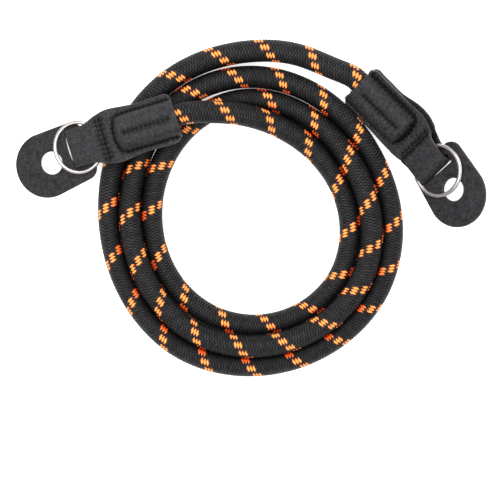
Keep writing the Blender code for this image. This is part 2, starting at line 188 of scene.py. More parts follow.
# Where the braid's lengths meet, under the left sleeve and in the loop that it crosses.
BRAID_JOINTS_DEG = (220.0, 576.0)

# The sleeve's half section across: share of the way to the seam, share of the lobe's height
LOBE_PROFILE = (
    (0.00, 0.975), (0.16, 0.985), (0.32, 1.00), (0.50, 0.97),
    (0.67, 0.86), (0.82, 0.60), (0.93, 0.26), (1.00, 0.00),
)
# Along the strip: share of the pocket or of the tongue, width's share, and how far it has
# narrowed to the tongue
POCKET_SECTIONS = ((0.00, 1.00), (0.33, 1.00), (0.60, 0.98), (0.83, 1.03), (1.01, 1.08))
TONGUE_SECTIONS = (
    (0.10, 1.09, 0.00), (0.19, 1.08, 0.00), (0.27, 1.06, 0.00), (0.34, 1.03, 0.05),
    (0.41, 1.00, 0.12), (0.52, 1.00, 0.46), (0.64, 1.00, 0.80), (0.78, 1.00, 1.00),
    (1.00, 1.00, 1.00),
)
LOOP_FREE_SHARE = 0.39

# Seams and edges of the leather, and how the lobe over the rope's end closes
SEAM_HALF_SPACING = 0.0077
END_SEAM_POWER = 2.2
LOBE_END_LENGTH = 0.0050
LOBE_END_POWER = 2.6
LOOP_OPENING_LENGTH = 0.0030
EDGE_SHIFT_FROM = -0.0040
EDGE_SHIFT_LENGTH = 0.0100
UNDER_RISE = (0.014, 0.010)
UNDER_FALL = (0.038, 0.004)
STITCH_PITCH = 0.0018
STITCH_LENGTH = 0.0013
STITCH_SLANT = 0.00030
STITCH_ROWS = 9
STITCH_SIDES = 8
THREAD_WIDTH = 0.00078
SEAM_DEPTH = 0.00062
SEAM_WIDTH = 0.00095
SEAM_FADE = 0.0004
SEAM_SWELL = 0.25
SEAM_BREAK = 0.30
PUCKER = 0.00018
EDGE_ROUND = 0.00035
EDGE_SHARE = 0.62

# Points of the sleeve's grid: the first stretch from the mouth, the rest of the panel, the
# fold and across, and how much closer the last ones lie at the edges
MOUTH_STRETCH = 0.002
MOUTH_POINTS = 10
PANEL_POINTS = 165
FOLD_POINTS = 25
ACROSS_POINTS = 103
ACROSS_SPREAD = 1.25

# Heights above the middle of the leather end
PRESSED_HEIGHT = (SEWN_GAP + LEATHER) / 2
LOBE_HEIGHT = ROPE_DIAMETER / 2 + FIT_GAP + LEATHER / 2 + LOBE_RISE
RING_THICKNESS = 2 * RING_WIRE_THICKNESS + RING_COIL_GAP
LOOP_GAP = PAD_THICKNESS + RING_THICKNESS + 3 * FIT_GAP
LOOP_HEIGHT = (LOOP_GAP + LEATHER) / 2
PAD_MIDDLE_HEIGHT = -LOOP_GAP / 2 + FIT_GAP + PAD_THICKNESS / 2
RING_MIDDLE_HEIGHT = LOOP_GAP / 2 - FIT_GAP - RING_THICKNESS / 2
BEND_FROM = ROPE_IN_SLEEVE + BEND_START
BEND_TO = BEND_FROM + BEND_LENGTH

# Points of the pad's outlines: round tip, base corners, straight sides, hole, slot
TIP_POINTS = 61
CORNER_POINTS = 15
SIDE_POINTS = (15, 15, 15)
HOLE_POINTS = 72
SLOT_CORNER_POINTS = 6
SLOT_SIDE_POINTS = (3, 18, 3, 18)

# Slow waves of the leather: heights
SLEEVE_WAVE = 0.00006
SLEEVE_CREASE = 0.00003
PAD_WAVE = 0.00007

# Finishes: spots of noise to the metre, depths of relief in metres, and shares of colours
COVER_SPOTS = 3000.0
YARN_SPOTS = 900.0
THREAD_SPOTS = 3800.0
WEAR_SPOTS = 240.0
SCRATCH_SPOTS = 1200.0
FLOOR_SPOTS = 40.0
GRAIN_BEND = 0.0004
COVER_RELIEF = 0.00030
THREAD_RELIEF = 0.00008
PLIES = 4
PLY_SHARE = 0.16
# Painted light and shade of the braid: powers of the height that light the crowns and shade the
# gaps, the share of shade between turns, a lighter share for random tone, and shares of the
# tracer's colour in painted shade
CROWN_POWER = 5.0
TRACER_POWER = 2.6
CREVICE_SHADE = 0.91
LIGHTER_SHARE = 1.7
CREVICE_SHADE_RED_SHARES = (0.50, 0.075, 0.03)
GAP_SHADE_SHARES = (0.92, 0.17, 0.05)
# The seams' dark colour and its largest share: pressed leather and thread, and painted shade along
# the seams
SEAM_DARK_AND_SHADE_COLOUR = (0.001, 0.001, 0.001)
SEAM_SHADE = 0.92
# Leather: depth of the grain, roughness, gloss and the share of its lightest tone
SLEEVE_FINISH = (0.00026, 0.45, 0.24, 2.1)
PAD_FINISH = (0.00021, 0.56, 0.20, 2.0)

# Stage: the photograph is 502 pixels wide and looks straight down
PHOTO_PIXELS = 502
METRES_PER_PIXEL = 0.00041
PHOTO_MIDDLE = (0.0006, -0.0422)
CAMERA_DISTANCE = 1.5
SENSOR_WIDTH = 0.036
FLOOR_HALF = 6.0
FLOOR_HEIGHT = -0.0002
WHITE = (1.0, 1.0, 1.0, 1.0)
LIGHTS = {
    "overhead": ((-0.16, 0.04, 1.1), 1.2),
    "side": ((0.5, 0.6, 0.8), 0.6),
}


def colour_setting(name, description, default):
    """A colour that a user can change."""
    return FloatVectorProperty(
        name=name, description=description, default=default, size=3, subtype="COLOR"
    )


def length_setting(name, description, default):
    """A length that a user can change."""
    return FloatProperty(name=name, description=description, default=default, unit="LENGTH")


def strength_setting(name, description, default):
    """A light's power or strength that a user can change."""
    return FloatProperty(name=name, description=description, default=default, min=0.0)


class StrapRope(bpy.types.PropertyGroup):
    """Sizes and colours of the rope."""

    diameter: length_setting("Diameter", "Diameter of the braided rope", ROPE_DIAMETER)
    relief: length_setting(
        "Braid relief", "Height of a strand's crown above the gaps between strands", 0.00038
    )
    tracer_strands: IntProperty(
        name="Tracer strands",
        description="Number of coloured strands that lie side by side",
        default=3,
    )
    colour: colour_setting(
        "Colour", "Colour of the rope's plain strands", (0.0106, 0.0102, 0.0108)
    )
    tracer_colour: colour_setting(
        "Tracer colour", "Colour of the tracer strands", (1.0, 0.48, 0.120)
    )


class StrapLeather(bpy.types.PropertyGroup):
    """Sizes and colours of the sleeves, the pads and the thread."""

    colour: colour_setting(
        "Leather colour", "Colour of the leather's face", (0.0182, 0.0179, 0.0202)
    )
    edge_colour: colour_setting(
        "Edge colour", "Colour of the leather's cut edge", (0.030, 0.029, 0.030)
    )
    # The inner side's dark colour: partly the rough flesh side, partly painted shade where the
    # under layer shows past the upper one
    inside_and_shade_colour: colour_setting(
        "Inside colour", "Colour of the leather's rough inner side", (0.0030, 0.0030, 0.0034)
    )
    thread_colour: colour_setting(
        "Thread colour", "Colour of the sewing thread", (0.004, 0.004, 0.0044)
    )
    sleeve_grain: length_setting(
        "Sleeve grain", "Width of one pebble of the sleeves' grain", 0.00100
    )
    pad_grain: length_setting("Pad grain", "Width of one pebble of the pads' grain", 0.00125)


class StrapSteel(bpy.types.PropertyGroup):
    """Colour of the split rings."""

    colour: colour_setting("Steel colour", "Colour of the polished wire", (0.57, 0.53, 0.51))


class StrapStage(bpy.types.PropertyGroup):
    """The floor and the light round the strap."""

    floor_colour: colour_setting("Floor colour", "Colour of the plain floor", (0.90, 0.90, 0.90))
    overhead_power: strength_setting(
        "Overhead power", "Power of the large soft light above, in watts", 21.5
    )
    side_power: strength_setting(
        "Side power", "Power of the smaller soft light behind, in watts", 2.0
    )
    world_strength: strength_setting(
        "World strength", "Strength of the even light from all round", 0.40
    )
    floor_glow: strength_setting("Floor glow", "Strength of the floor's own even light", 0.60)


def eased(x, knots, values):
    """Smooth table: cubic Hermite pieces whose slope at a knot is the harmonic mean of the
    slopes on its two sides, and zero where these have unlike signs."""
    x = np.clip(np.asarray(x, dtype=float), knots[0], knots[-1])
    width = np.diff(knots)
    secant = np.diff(values) / width
    product = secant[:-1] * secant[1:]
    total = secant[:-1] + secant[1:]
    inner = np.where(product > 0, 2.0 * product / np.where(total == 0, 1.0, total), 0.0)
    slope = np.concatenate(([secant[0]], inner, [secant[-1]]))
    span = np.clip(np.searchsorted(knots, x, side="right") - 1, 0, len(width) - 1)
    t = (x - knots[span]) / width[span]
    h = width[span]
    start = (1 + 2 * t) * (1 - t)**2 * values[span] + t * (1 - t)**2 * h * slope[span]
    return start + t**2 * (3 - 2 * t) * values[span + 1] + t**2 * (t - 1) * h * slope[span + 1]


def smooth_step(x):
    """x² (3 - 2x) for x held between 0 and 1."""
    x = np.clip(x, 0.0, 1.0)
    return x * x * (3.0 - 2.0 * x)


def unit(vectors):
    """Each vector divided by its own length."""
    return vectors / np.linalg.norm(vectors, axis=-1, keepdims=True)


def grid_quads(rows, columns, closed=True):
    """Quads of a grid of points numbered row by row: (r, c), (r, c+1), (r+1, c+1), (r+1, c).
    A closed grid joins its last column to its first."""
    r, c = np.meshgrid(np.arange(rows - 1), np.arange(columns - (not closed)), indexing="ij")
    here, beside = r * columns, (c + 1) % columns
    corners = (here + c, here + beside, here + columns + beside, here + columns + c)
    return np.stack(corners, axis=-1).reshape(-1, 4)


def loop_fan(loop, middle):
    """Triangles from a closed loop of point numbers to one middle point."""
    return np.stack((loop, np.roll(loop, -1), np.full(len(loop), middle)), axis=-1)


def points_at(values, known, points):
    """Points of a line at values between those known along it."""
    return np.stack([np.interp(values, known, column) for column in points.T], axis=1)


def fill_mesh(mesh, points, quads, triangles):
    """Put whole arrays of points, quads and triangles into a mesh."""
    quads = np.asarray(quads, dtype=np.int32).reshape(-1, 4)
    triangles = np.asarray(triangles, dtype=np.int32).reshape(-1, 3)
    corners = np.concatenate((quads.ravel(), triangles.ravel()))
    starts = np.concatenate((4 * np.arange(len(quads)), quads.size + 3 * np.arange(len(triangles))))
    mesh.vertices.add(len(points))
    mesh.vertices.foreach_set("co", np.asarray(points, dtype=np.float32).ravel())
    mesh.loops.add(len(corners))
    mesh.loops.foreach_set("vertex_index", corners)
    mesh.polygons.add(len(starts))
    mesh.polygons.foreach_set("loop_start", starts.astype(np.int32))
    mesh.update(calc_edges=True)
    mesh.validate()


def add_object(name, data):
    """Make an object of a mesh, curve, light or camera and link it to the scene."""
    made = bpy.data.objects.new(name, data)
    bpy.context.scene.collection.objects.link(made)
    return made


def add_piece(name, points, quads, triangles, finish, replaces=(), corner_uv=None, marks=None):
    """Make one finished piece at the origin, with its finish's material, its body and what it
    stands for. corner_uv holds a pair for each face corner, and marks named arrays with a number
    for each point."""
    mesh = bpy.data.meshes.new(name)
    fill_mesh(mesh, points, quads, triangles)
    if corner_uv is not None:
        layer = mesh.uv_layers.new(name="UVMap")
        layer.data.foreach_set("uv", np.asarray(corner_uv, dtype=np.float32).ravel())
    for label, values in (marks or {}).items():
        attribute = mesh.attributes.new(label, "FLOAT", "POINT")
        attribute.data.foreach_set("value", np.asarray(values, dtype=np.float32))
    slot_name, material = finish
    mesh.materials.append(material)
    mesh.shade_smooth()
    return dress(add_object(name, mesh), replaces)


def add_pair(name, shape_of, finish, node=None):
    """Make a piece for each end from the points, quads, triangles and marks of its shape. It
    stands for the end's node, if one is named."""
    for side in ENDS:
        points, quads, triangles, marks = shape_of(side)
        replaces = (f"{side}_{node}",) if node else ()
        add_piece(f"{side}_{name}", points, quads, triangles, finish, replaces, marks=marks)


def dress(piece, replaces=()):
    """Hide the solids that a piece stands for and attach it to the body that carries it."""
    if replaces:
        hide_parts(*replaces)
    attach(piece, BODY)
    return piece


def new_node(tree, kind, **settings):
    """Add a shader node and set its plain settings."""
    made = tree.nodes.new(kind)
    for name, value in settings.items():
        setattr(made, name, value)
    return made


def feed(socket, value):
    """Link a value that comes from a node, and otherwise set it on the socket itself."""
    if isinstance(value, Value):
        socket.id_data.links.new(value.socket, socket)
    else:
        socket.default_value = value


def output(node, *values, name=0):
    """Feed a node's inputs in their order and return one of its outputs."""
    for socket, value in zip(node.inputs, values):
        feed(socket, value)
    return Value(node.outputs[name])


class Value(np.lib.mixins.NDArrayOperatorsMixin):
    """What a node puts out. Its arithmetic, and numpy's functions on it, add Math nodes, so
    one formula serves a material and a mesh."""

    math_nodes = {
        np.add: "ADD",
        np.subtract: "SUBTRACT",
        np.multiply: "MULTIPLY",
        np.divide: "DIVIDE",
        np.power: "POWER",
        np.cos: "COSINE",
        np.rint: "ROUND",
        np.maximum: "MAXIMUM",
        np.minimum: "MINIMUM",
        np.greater: "GREATER_THAN",
        np.less: "LESS_THAN",
        np.mod: "FLOORED_MODULO",
    }

    def __init__(self, socket):
        self.socket = socket

    def __array_ufunc__(self, function, method, *values):
        operation = self.math_nodes[function]
        return output(new_node(self.socket.id_data, "ShaderNodeMath", operation=operation), *values)


def mix_colour(tree, factor, first, second, blend="MIX"):
    """Add a colour Mix node and return what it puts out."""
    made = new_node(tree, "ShaderNodeMix", data_type="RGBA", blend_type=blend)
    feed(made.inputs["Factor"], factor)
    feed(made.inputs[6], first)
    feed(made.inputs[7], second)
    return Value(made.outputs[2])


def noise(tree, vector, scale, detail=2.0, roughness=0.5):
    """Add a Noise Texture on a vector and return its node."""
    made = new_node(tree, "ShaderNodeTexNoise")
    names = ("Vector", "Scale", "Detail", "Roughness")
    for name, value in zip(names, (vector, scale, detail, roughness)):
        feed(made.inputs[name], value)
    return made


def speckle(tree, scale, detail=2.0, roughness=0.5):
    """Noise on the object's own coordinates."""
    return Value(noise(tree, object_place(tree), scale, detail, roughness).outputs[0])


def object_place(tree):
    """The object's own coordinates."""
    return output(new_node(tree, "ShaderNodeTexCoord"), name="Object")


def mark(tree, name):
    """The number that each point of a piece carries under a name."""
    return output(new_node(tree, "ShaderNodeAttribute", attribute_name=name), name="Fac")


def rgba(colour, *shares):
    """A colour times one share, or times one for each channel, with full alpha."""
    return (*(np.array(colour) * (shares or 1.0)), 1.0)


def place_group(tree, name, inputs, outputs, build, *values):
    """Place a shader node group with named inputs (name, kind) and outputs in a material, give
    it this material's own values and return what it puts out. It is built the first time."""
    group = bpy.data.node_groups.get(name)
    if group is None:
        group = bpy.data.node_groups.new(name, "ShaderNodeTree")
        for label, kind in inputs:
            group.interface.new_socket(label, in_out="INPUT", socket_type=kind)
        for label in outputs:
            group.interface.new_socket(label, in_out="OUTPUT", socket_type="NodeSocketFloat")
        given = group.nodes.new("NodeGroupInput").outputs[:len(inputs)]
        put = group.nodes.new("NodeGroupOutput")
        output_values = build(group, *(Value(socket) for socket in given))
        for label, value in zip(outputs, output_values):
            feed(put.inputs[label], value)
    made = new_node(tree, "ShaderNodeGroup", node_tree=group)
    for socket, value in zip(made.inputs, values):
        feed(socket, value)
    return [Value(socket) for socket in made.outputs]


def braid_strands(u, v, carriers, way):
    """Strands that wind one way: how far across its strand a point lies, the strand's number,
    the row of floats that it is in, and the height of its float there, which is
    cos(pi across)^p cos(pi/2 beside/reach)^q. It takes arrays and node values alike."""
    rows = carriers * 0.5
    first = FIRST_ROW if way > 0 else FIRST_ROW + 1.0 / CARRIERS
    row = np.rint((u - first) * rows)
    row_u = row / rows + first
    beside = (u - row_u) * carriers
    place = (v - row_u * way) * carriers - beside * (way * FLOAT_SLANT)
    number = np.rint(place)
    across = place - number
    dome = np.maximum(np.cos(across * math.pi), 0.0)**DOME_POWER
    arch = np.maximum(np.cos(beside * (math.pi / 2 / FLOAT_REACH)), 0.0)**ARCH_POWER
    return across, number, row, dome * arch


def braid_nodes(group, uv, carriers, strands):
    """Herringbone braid. With u once round the rope and v one tracer winding along it, each of
    the two ways of winding has its floats in rows along the rope, 2/carriers apart in u. In a
    row at u = r the strands of one way lie at carriers (v - r) = a whole number, and those of
    the other at carriers (v + r) = a whole number, both slanting with u. The higher is on top.
    It puts out the height, the tracer's mask, the plies of a strand and a number for each."""
    split = new_node(group, "ShaderNodeSeparateXYZ")
    u = output(split, uv)
    v = Value(split.outputs[1])
    one = braid_strands(u, v, carriers, 1.0)
    other = braid_strands(u, v, carriers, -1.0)
    on_top = one[3] > other[3]
    across, number, row = (a * on_top + b * (1.0 - on_top) for a, b in zip(one[:3], other[:3]))
    # The tracer's middle strand has the number 0.
    turned = np.mod(one[1] + (strands - 1.0) * 0.5, carriers)
    tracer = (turned < strands - 0.5) * on_top
    plies = (np.cos(across * (2 * PLIES * math.pi)) + 1.0) * 0.5
    label = output(new_node(group, "ShaderNodeCombineXYZ"), number, row, on_top)
    chance = new_node(group, "ShaderNodeTexWhiteNoise", noise_dimensions="3D")
    return np.maximum(one[3], other[3]), tracer, plies, output(chance, label, name="Value")


def grain_nodes(group, vector, pebbles):
    """Leather grain: pebbles from a cell pattern's distance to the edge of each cell, broken
    up by fine noise, and slow changes of tone. It puts out the height, the tone and the fine
    noise for the roughness."""
    bend = noise(group, vector, pebbles * 0.9).outputs[1]
    shift = new_node(group, "ShaderNodeVectorMath", operation="MULTIPLY_ADD")
    cells = new_node(group, "ShaderNodeTexVoronoi", feature="DISTANCE_TO_EDGE")
    feed(cells.inputs["Vector"], output(shift, Value(bend), (GRAIN_BEND,) * 3, vector))
    feed(cells.inputs["Scale"], pebbles)
    flank = 1.0 - np.minimum(Value(cells.outputs[0]) * 3.0, 1.0)
    crease = 1.0 - flank * flank
    fine = Value(noise(group, vector, pebbles * 2.2, 3.0).outputs[0])
    broad = Value(noise(group, vector, pebbles * 0.7, 3.0).outputs[0])
    tone = broad * 1.3 + crease * 0.35 + fine * 0.3 - 0.53
    return crease * 0.6 + fine * 0.7, tone, fine


def new_material(name, roughness, specular=0.5, metallic=0.0):
    """Start a material, with its Principled shader's plain numbers set on the shader."""
    material = bpy.data.materials.new(name)
    material.use_nodes = True
    shader = material.node_tree.nodes["Principled BSDF"]
    shader.inputs["Roughness"].default_value = roughness
    shader.inputs["Specular IOR Level"].default_value = specular
    shader.inputs["Metallic"].default_value = metallic
    return material, material.node_tree, shader


def add_bump(tree, shader, height, distance, strength):
    """Feed the shader's normal from a Bump node on a height."""
    bump = new_node(tree, "ShaderNodeBump")
    bump.inputs["Distance"].default_value = distance
    bump.inputs["Strength"].default_value = strength
    feed(bump.inputs["Height"], height)
    feed(shader.inputs["Normal"], Value(bump.outputs[0]))


def rope_material(settings):
    """Matt braided cover with its orange tracer. At a strand's height h, black has the share
    2.4 h^5 + 0.02 of its colour, painted light on the crowns and painted shade in the gaps,
    and a tenth of that as painted shade in a crevice between turns of the rope. A tracer strand
    goes from a deep orange of painted shade to orange with h^2.6, and to a red of painted shade
    in a crevice."""
    material, tree, shader = new_material("braided_cover", 0.55, 0.14)
    height, tracer, plies, variation = place_group(
        tree,
        "braid",
        (
            ("UV", "NodeSocketVector"),
            ("Carriers", "NodeSocketFloat"),
            ("Tracer strands", "NodeSocketFloat"),
        ),
        ("Height", "Tracer", "Plies", "Variation"),
        braid_nodes,
        output(new_node(tree, "ShaderNodeUVMap", uv_map="UVMap")),
        float(CARRIERS),
        float(settings.tracer_strands),
    )
    # Painted shade where the rope lies close to another of its turns
    crevice = mark(tree, "crevice")
    plain, lighter = rgba(settings.colour), rgba(settings.colour, LIGHTER_SHARE)
    black = mix_colour(tree, speckle(tree, COVER_SPOTS, 2.0, 0.6), plain, lighter)
    # Painted light on the strands' crowns and painted shade in the gaps between them
    crown_light_and_gap_shade = height**CROWN_POWER * 2.4 + 0.02
    shade = crown_light_and_gap_shade * (variation * 0.7 + 0.65) * (1.0 - crevice * CREVICE_SHADE)
    black = mix_colour(tree, 1.0, black, shade, "MULTIPLY")
    orange = rgba(settings.tracer_colour)
    # The tracer's red and deep orange are painted shade, between turns and in the gaps between
    # strands
    crevice_shade_red = rgba(settings.tracer_colour, *CREVICE_SHADE_RED_SHARES)
    gap_shade_orange = rgba(settings.tracer_colour, *GAP_SHADE_SHARES)
    bright = mix_colour(tree, crevice * 2.2 - 1.0, orange, crevice_shade_red)
    bright = mix_colour(tree, height**TRACER_POWER, gap_shade_orange, bright)
    feed(shader.inputs["Base Color"], mix_colour(tree, tracer, black, bright))
    add_bump(tree, shader, height + plies * PLY_SHARE, COVER_RELIEF, 0.8)
    return material


def core_material(settings):
    """Plain dark yarn inside the braid."""
    material, tree, shader = new_material("rope_yarn", 0.8)
    dark, plain = rgba(settings.colour, 0.4), rgba(settings.colour)
    feed(shader.inputs["Base Color"], mix_colour(tree, speckle(tree, YARN_SPOTS), dark, plain))
    return material


def leather_material(name, settings, pebble, depth, roughness, shine, lightest):
    """Matt black leather: pebbled face between black and its lightest tone, pressed dark along
    the seams with painted shade there too, with a smoother, slightly lighter cut edge, and a
    dull inner side whose darker colour is partly painted shade on the under layer."""
    material, tree, shader = new_material(name, roughness, shine)
    height, tone, fine = place_group(
        tree,
        "leather_grain",
        (("Vector", "NodeSocketVector"), ("Pebbles per metre", "NodeSocketFloat")),
        ("Height", "Tone", "Roughness"),
        grain_nodes,
        object_place(tree),
        1.0 / pebble,
    )
    edge = mark(tree, "cut_edge")
    # Painted shade along the seams, together with the darker pressed leather there
    pressed_and_shaded = np.minimum(mark(tree, "seam") * 1.5, SEAM_SHADE)
    colour = mix_colour(tree, tone, rgba(settings.colour, 0.0), rgba(settings.colour, lightest))
    colour = mix_colour(tree, edge, colour, rgba(settings.edge_colour))
    # Inner face: darker, partly as painted shade on the under layer's flank
    colour = mix_colour(tree, mark(tree, "inside"), colour, rgba(settings.inside_and_shade_colour))
    colour = mix_colour(tree, pressed_and_shaded, colour, rgba(SEAM_DARK_AND_SHADE_COLOUR))
    feed(shader.inputs["Base Color"], colour)
    feed(shader.inputs["Roughness"], fine * 0.2 + (roughness - 0.1))
    add_bump(tree, shader, height * (1.0 - edge * 0.7), depth, 0.7)
    return material


def sleeve_leather(settings):
    """Fine-grained, slightly polished leather of the sleeves."""
    return leather_material("sleeve_leather", settings, settings.sleeve_grain, *SLEEVE_FINISH)


def pad_leather(settings):
    """Coarse-grained, matt leather of the pads."""
    return leather_material("pad_leather", settings, settings.pad_grain, *PAD_FINISH)


def thread_material(settings):
    """Waxed black sewing thread, mottled by fine noise."""
    material, tree, shader = new_material("black_thread", 0.6, 0.12)
    twist = speckle(tree, THREAD_SPOTS)
    dark, light = rgba(settings.thread_colour), rgba(settings.thread_colour, 2.2)
    feed(shader.inputs["Base Color"], mix_colour(tree, twist, dark, light))
    add_bump(tree, shader, twist, THREAD_RELIEF, 0.6)
    return material


def steel_material(settings):
    """Polished wire, with faint wear in its colour and roughness."""
    material, tree, shader = new_material("polished_steel", 0.25, metallic=1.0)
    bright, dull = rgba(settings.colour), rgba(settings.colour, 0.82)
    feed(shader.inputs["Base Color"], mix_colour(tree, speckle(tree, WEAR_SPOTS), bright, dull))
    feed(shader.inputs["Roughness"], speckle(tree, SCRATCH_SPOTS) * 0.12 + 0.26)
    return material


def finish_of(slot_name, name, maker, settings):
    """A slot's name with a material for it, which is made the first time it is asked for."""
    return slot_name, bpy.data.materials.get(name) or maker(settings)


def bend_angle(place, pitch):
    """Slope of the leather end at a place: pitch times the share of the bend that is passed."""
    return pitch * np.clip((place - BEND_FROM) / BEND_LENGTH, 0.0, 1.0)


def bend_line(place, pitch):
    """Distance along and height of the end's middle line: straight, an arc, straight again."""
    angle = bend_angle(place, pitch)
    radius = BEND_LENGTH / pitch
    beyond = np.maximum(place - BEND_TO, 0.0)
    before = np.minimum(place, BEND_FROM)
    along = before + radius * np.sin(angle) + beyond * math.cos(pitch)
    return along, radius * (1.0 - np.cos(angle)) + beyond * math.sin(pitch)


def fold_tip(end):
    """Place of the fold's outer face, from the mouth."""
    return ROPE_IN_SLEEVE + end["tongue"]


def fold_middle(end):
    """Place about which the tongue folds back."""
    return fold_tip(end) - LOOP_HEIGHT - LEATHER / 2


def hole_place(end):
    """Place of the pad's round hole, from the mouth."""
    return fold_tip(end) + PAD_HOLE_PAST_FOLD


def under_reach(end, place):
    """How far the strip's under layer stands out past the upper one, on the left of the way on."""
    (rise, rise_length), (fall, fall_length) = UNDER_RISE, UNDER_FALL
    bump = smooth_step((place - rise) / rise_length) * smooth_step((fall - place) / fall_length)
    return end["under_reach"] * bump


def sleeve_shape(end, place):
    """Half width of the strip at places along it, and how far its middle is shifted across.
    The corners at the mouth are quarter circles."""
    half = SLEEVE_WIDTH / 2
    length = fold_middle(end) - ROPE_IN_SLEEVE
    rows = [(share * ROPE_IN_SLEEVE, width, 0.0) for share, width in POCKET_SECTIONS]
    rows += [(ROPE_IN_SLEEVE + share * length, *row) for share, *row in TONGUE_SECTIONS]
    at, width, taper = np.array(rows).T
    wide = half * (1 + (width - 1) * end["flare"])
    half_width = eased(place, at, wide + (TONGUE_WIDTH / 2 - wide) * taper)
    to_corner = np.maximum(MOUTH_CORNER - place, 0.0)
    corner = MOUTH_CORNER - np.sqrt(np.maximum(MOUTH_CORNER**2 - to_corner**2, 0.0))
    shift = end["edge_shift"] * smooth_step((place - EDGE_SHIFT_FROM) / EDGE_SHIFT_LENGTH)
    return half_width - corner, shift


def end_seam_place(end, share):
    """Place of the seam past the rope's end: it bulges away from the rope in its middle."""
    side, middle = end["end_seam"]
    return side + (middle - side) * (1.0 - np.abs(share)**END_SEAM_POWER)


def strip_height(end, place, offset):
    """Height of the strip's middle surface over the end's own plane. With s the share of the
    way to the side seams and e that of the last stretch to the end seam, the lobe follows its
    profile over (s^n + e^n)^(1/n), which rounds its end. Past the seams the strip opens out
    into the loop."""
    share = np.abs(offset - end["seam_shift"]) / SEAM_HALF_SPACING
    last = np.maximum(place - end["end_seam"][1] + LOBE_END_LENGTH, 0.0) / LOBE_END_LENGTH
    closing = (share**LOBE_END_POWER + last**LOBE_END_POWER)**(1.0 / LOBE_END_POWER)
    table = np.array(LOBE_PROFILE)
    rise = eased(closing, table[:, 0], table[:, 1])
    gap = smooth_step((place - end["loop_from"]) / LOOP_OPENING_LENGTH)
    lifts = (LOBE_HEIGHT - PRESSED_HEIGHT) * rise + (LOOP_HEIGHT - PRESSED_HEIGHT) * gap
    return PRESSED_HEIGHT + lifts


def lowest_reach(roll):
    """How far a sleeve's section, rolled about the rope, reaches below the rope's middle."""
    width = SLEEVE_WIDTH / 2 * max(share for _, share in POCKET_SECTIONS)
    share, rise = np.array(LOBE_PROFILE).T
    across = np.append(share * SEAM_SPACING / 2, width)
    height = PRESSED_HEIGHT + (LOBE_HEIGHT - PRESSED_HEIGHT) * np.append(rise, 0.0)
    outer = height + LEATHER / 2
    return float(np.max(across * math.sin(abs(roll)) + outer * math.cos(roll)))


def end_height(side):
    """Height of the rope's middle in a sleeve: over the coil on the left, and on the ground on
    the right."""
    if side == "left":
        return ROPE_DIAMETER + FIT_GAP + lowest_reach(0.0)
    return GROUND_GAP + lowest_reach(math.radians(ENDS["right"]["roll_deg"]))


def end_pitch(side):
    """Pitch of an end's outer part: down until the pad's far edge meets the ground, or up."""
    if side == "right":
        return math.radians(RIGHT_PITCH_DEG)
    reach = hole_place(ENDS[side]) + PAD_HOLE_TO_TIP - (BEND_FROM + BEND_TO) / 2
    under = PAD_MIDDLE_HEIGHT - PAD_THICKNESS / 2
    slant = math.hypot(reach, under)
    return -math.asin((end_height(side) - GROUND_GAP) / slant) - math.atan2(under, reach)


def end_matrix(side):
    """Placement of an end's own frame: +X from the mouth to the ring, on the rope's middle."""
    end = ENDS[side]
    place = (COIL_MIDDLE[0] + end["mouth"][0], COIL_MIDDLE[1] + end["mouth"][1], end_height(side))
    turn = Euler((math.radians(end["roll_deg"]), 0.0, math.radians(end["heading_deg"])))
    return Matrix.Translation(place) @ turn.to_matrix().to_4x4()


def loop_matrix(side):
    """Placement of the frame of the ring and pad, past the bend."""
    pitch = end_pitch(side)
    along, rise = bend_line(np.float64(BEND_TO), pitch)
    turn = Euler((0.0, -pitch, 0.0)).to_matrix().to_4x4()
    return end_matrix(side) @ Matrix.Translation((along, 0.0, rise)) @ turn


def placed(points, matrix):
    """Points carried by a placement matrix."""
    matrix = np.array(matrix)
    return points @ matrix[:3, :3].T + matrix[:3, 3]


def smooth_curve(points, per_span):
    """Curve through all points: natural cubic pieces along the summed chord length."""
    points = np.asarray(points, dtype=float)
    chord = np.linalg.norm(np.diff(points, axis=0), axis=1)
    knots = np.concatenate(([0.0], np.cumsum(chord)))
    count = len(points)
    system = np.eye(count)
    target = np.zeros_like(points)
    inner = np.arange(1, count - 1)
    system[inner, inner - 1] = chord[:-1]
    system[inner, inner] = 2.0 * (chord[:-1] + chord[1:])
    system[inner, inner + 1] = chord[1:]
    slope = np.diff(points, axis=0) / chord[:, None]
    target[1:-1] = 6.0 * np.diff(slope, axis=0)
    bending = np.linalg.solve(system, target)
    share = np.linspace(0.0, 1.0, per_span, endpoint=False)
    at = np.append((knots[:-1, None] + share * chord[:, None]).ravel(), knots[-1])
    span = np.clip(np.searchsorted(knots, at, side="right") - 1, 0, count - 2)
    after = (at - knots[span])[:, None]
    before = (knots[span + 1] - at)[:, None]
    width = chord[span][:, None]
    curve = (bending[span] * before**3 + bending[span + 1] * after**3) / (6.0 * width)
    curve += (points[span] / width - bending[span] * width / 6.0) * before
    return curve + (points[span + 1] / width - bending[span + 1] * width / 6.0) * after


def coil_point(direction_deg, distance, lift):
    """Place of the rope's middle, from a direction and distance about the coil."""
    angle = math.radians(direction_deg)
    x = COIL_MIDDLE[0] + distance * math.cos(angle)
    return (x, COIL_MIDDLE[1] + distance * math.sin(angle), ROPE_DIAMETER / 2 + lift)


def sleeve_points(side, depths):
    """Places on the middle of a sleeve, at given depths inside its mouth."""
    end = ENDS[side]
    angle = math.radians(end["heading_deg"])
    x, y = (middle + mouth for middle, mouth in zip(COIL_MIDDLE, end["mouth"]))
    height = end_height(side)
    return [(x + depth * math.cos(angle), y + depth * math.sin(angle), height) for depth in depths]


def squeezed_lift(direction_deg, inner, middle, outer):
    """How far the middle turn rides up where its neighbours leave it too little room."""
    if direction_deg in FIRST_TURN_LIFTS:
        inner = -outer
    room = min(middle - inner, outer - middle) * math.cos(math.radians(ROPE_STEP_DEG / 2))
    clear = ROPE_DIAMETER + STRAND_GAP
    return math.sqrt(max(clear**2 - room**2, 0.0))


